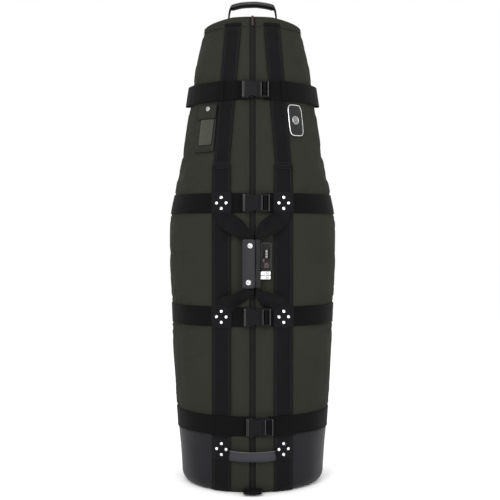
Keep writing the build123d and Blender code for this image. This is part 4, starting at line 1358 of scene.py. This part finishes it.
# ------------------------------------------------------------------ back panel details
for x in (-0.068, 0.0, 0.068):
    for low, high in ((0.202, 0.415), (0.477, 0.700)):
        places = []
        for z in steps(low + 0.012, high - 0.012, 3):
            places.append((Vector((x, outline(z)[2] + 0.0050, z)), (0, 1, 0)))
        studs(f"rail_screws_{round(x * 1000)}_{round(low * 1000)}", places, 0.0034, 0.0014, STEEL, "shell")
seam_lines = []
for x in (-0.004, 0.004):
    pts = [Vector((x, outline(z)[2] + 0.0006, z)) for z in steps(0.152, 1.180, 120)
           if all(abs(z - zs) > STRAP_HALF + 0.002 for zs in STRAP_Z)]
    keep = [p for p in pts if not (0.198 < p.z < 0.704)]
    for part in ([p for p in keep if p.z < 0.198], [p for p in keep if 0.704 < p.z < 0.99],
                 [p for p in keep if p.z > 1.04]):
        if len(part) > 2:
            seam_lines += stitch_run(part, [Vector((0, 1, 0))] * len(part))
blocks("back_seam_stitches", seam_lines, GREEN_THREAD, "shell")

# ------------------------------------------------------------------ floor, light and camera
def stage_plane(name, size, centre, material):
    bm = bmesh.new()
    bmesh.ops.create_grid(bm, x_segments=1, y_segments=1, size=size)
    obj = finish_mesh(bm, name, material, smooth=False)
    obj.location = centre
    return obj


floor_look, floor_tree, floor_shader = new_material("studio_floor")
floor_shader.inputs["Base Color"].default_value = (0.99, 0.99, 0.99, 1)
floor_shader.inputs["Roughness"].default_value = 1.0
floor_shader.inputs["Specular IOR Level"].default_value = 0.0
stage_plane("studio_floor", 12.0, (0, 0, -0.0005), floor_look)

world = bpy.data.worlds.new("studio")
bpy.context.scene.world = world
world.use_nodes = True
world.node_tree.nodes["Background"].inputs[0].default_value = (1, 1, 1, 1)
world.node_tree.nodes["Background"].inputs[1].default_value = 1.0
bpy.context.scene.view_settings.view_transform = "Standard"


def area(name, location, target, size, power, size_y=None):
    data = bpy.data.lights.new(name, "AREA")
    data.energy, data.size = power, size
    if size_y:
        data.shape, data.size_y = "RECTANGLE", size_y
    obj = bpy.data.objects.new(name, data)
    bpy.context.scene.collection.objects.link(obj)
    obj.location = location
    obj.rotation_euler = (Vector(target) - Vector(location)).to_track_quat("-Z", "Y").to_euler()
    return obj


area("key", (-0.9, -3.0, 2.2), (0, 0, 0.7), 1.3, 58, 1.8)
area("fill", (1.1, -2.9, 1.2), (0, 0, 0.6), 1.4, 34, 1.8)
area("top", (0.0, 0.3, 2.8), (0, 0, 0.9), 1.2, 14)
area("rim_left", (-1.8, 1.2, 1.5), (0, 0, 0.8), 0.8, 3, 1.6)
area("rim_right", (1.8, 1.2, 1.5), (0, 0, 0.8), 0.8, 3, 1.6)

camera_data = bpy.data.cameras.new("camera")
camera = bpy.data.objects.new("camera", camera_data)
bpy.context.scene.collection.objects.link(camera)
camera.location = (0, -2.615, 0.659)
camera.rotation_euler = (math.pi / 2, 0, 0)
camera_data.lens = 70.1
camera_data.sensor_width = 36
camera_data.shift_x, camera_data.shift_y = -0.005, -0.036
bpy.context.scene.camera = camera
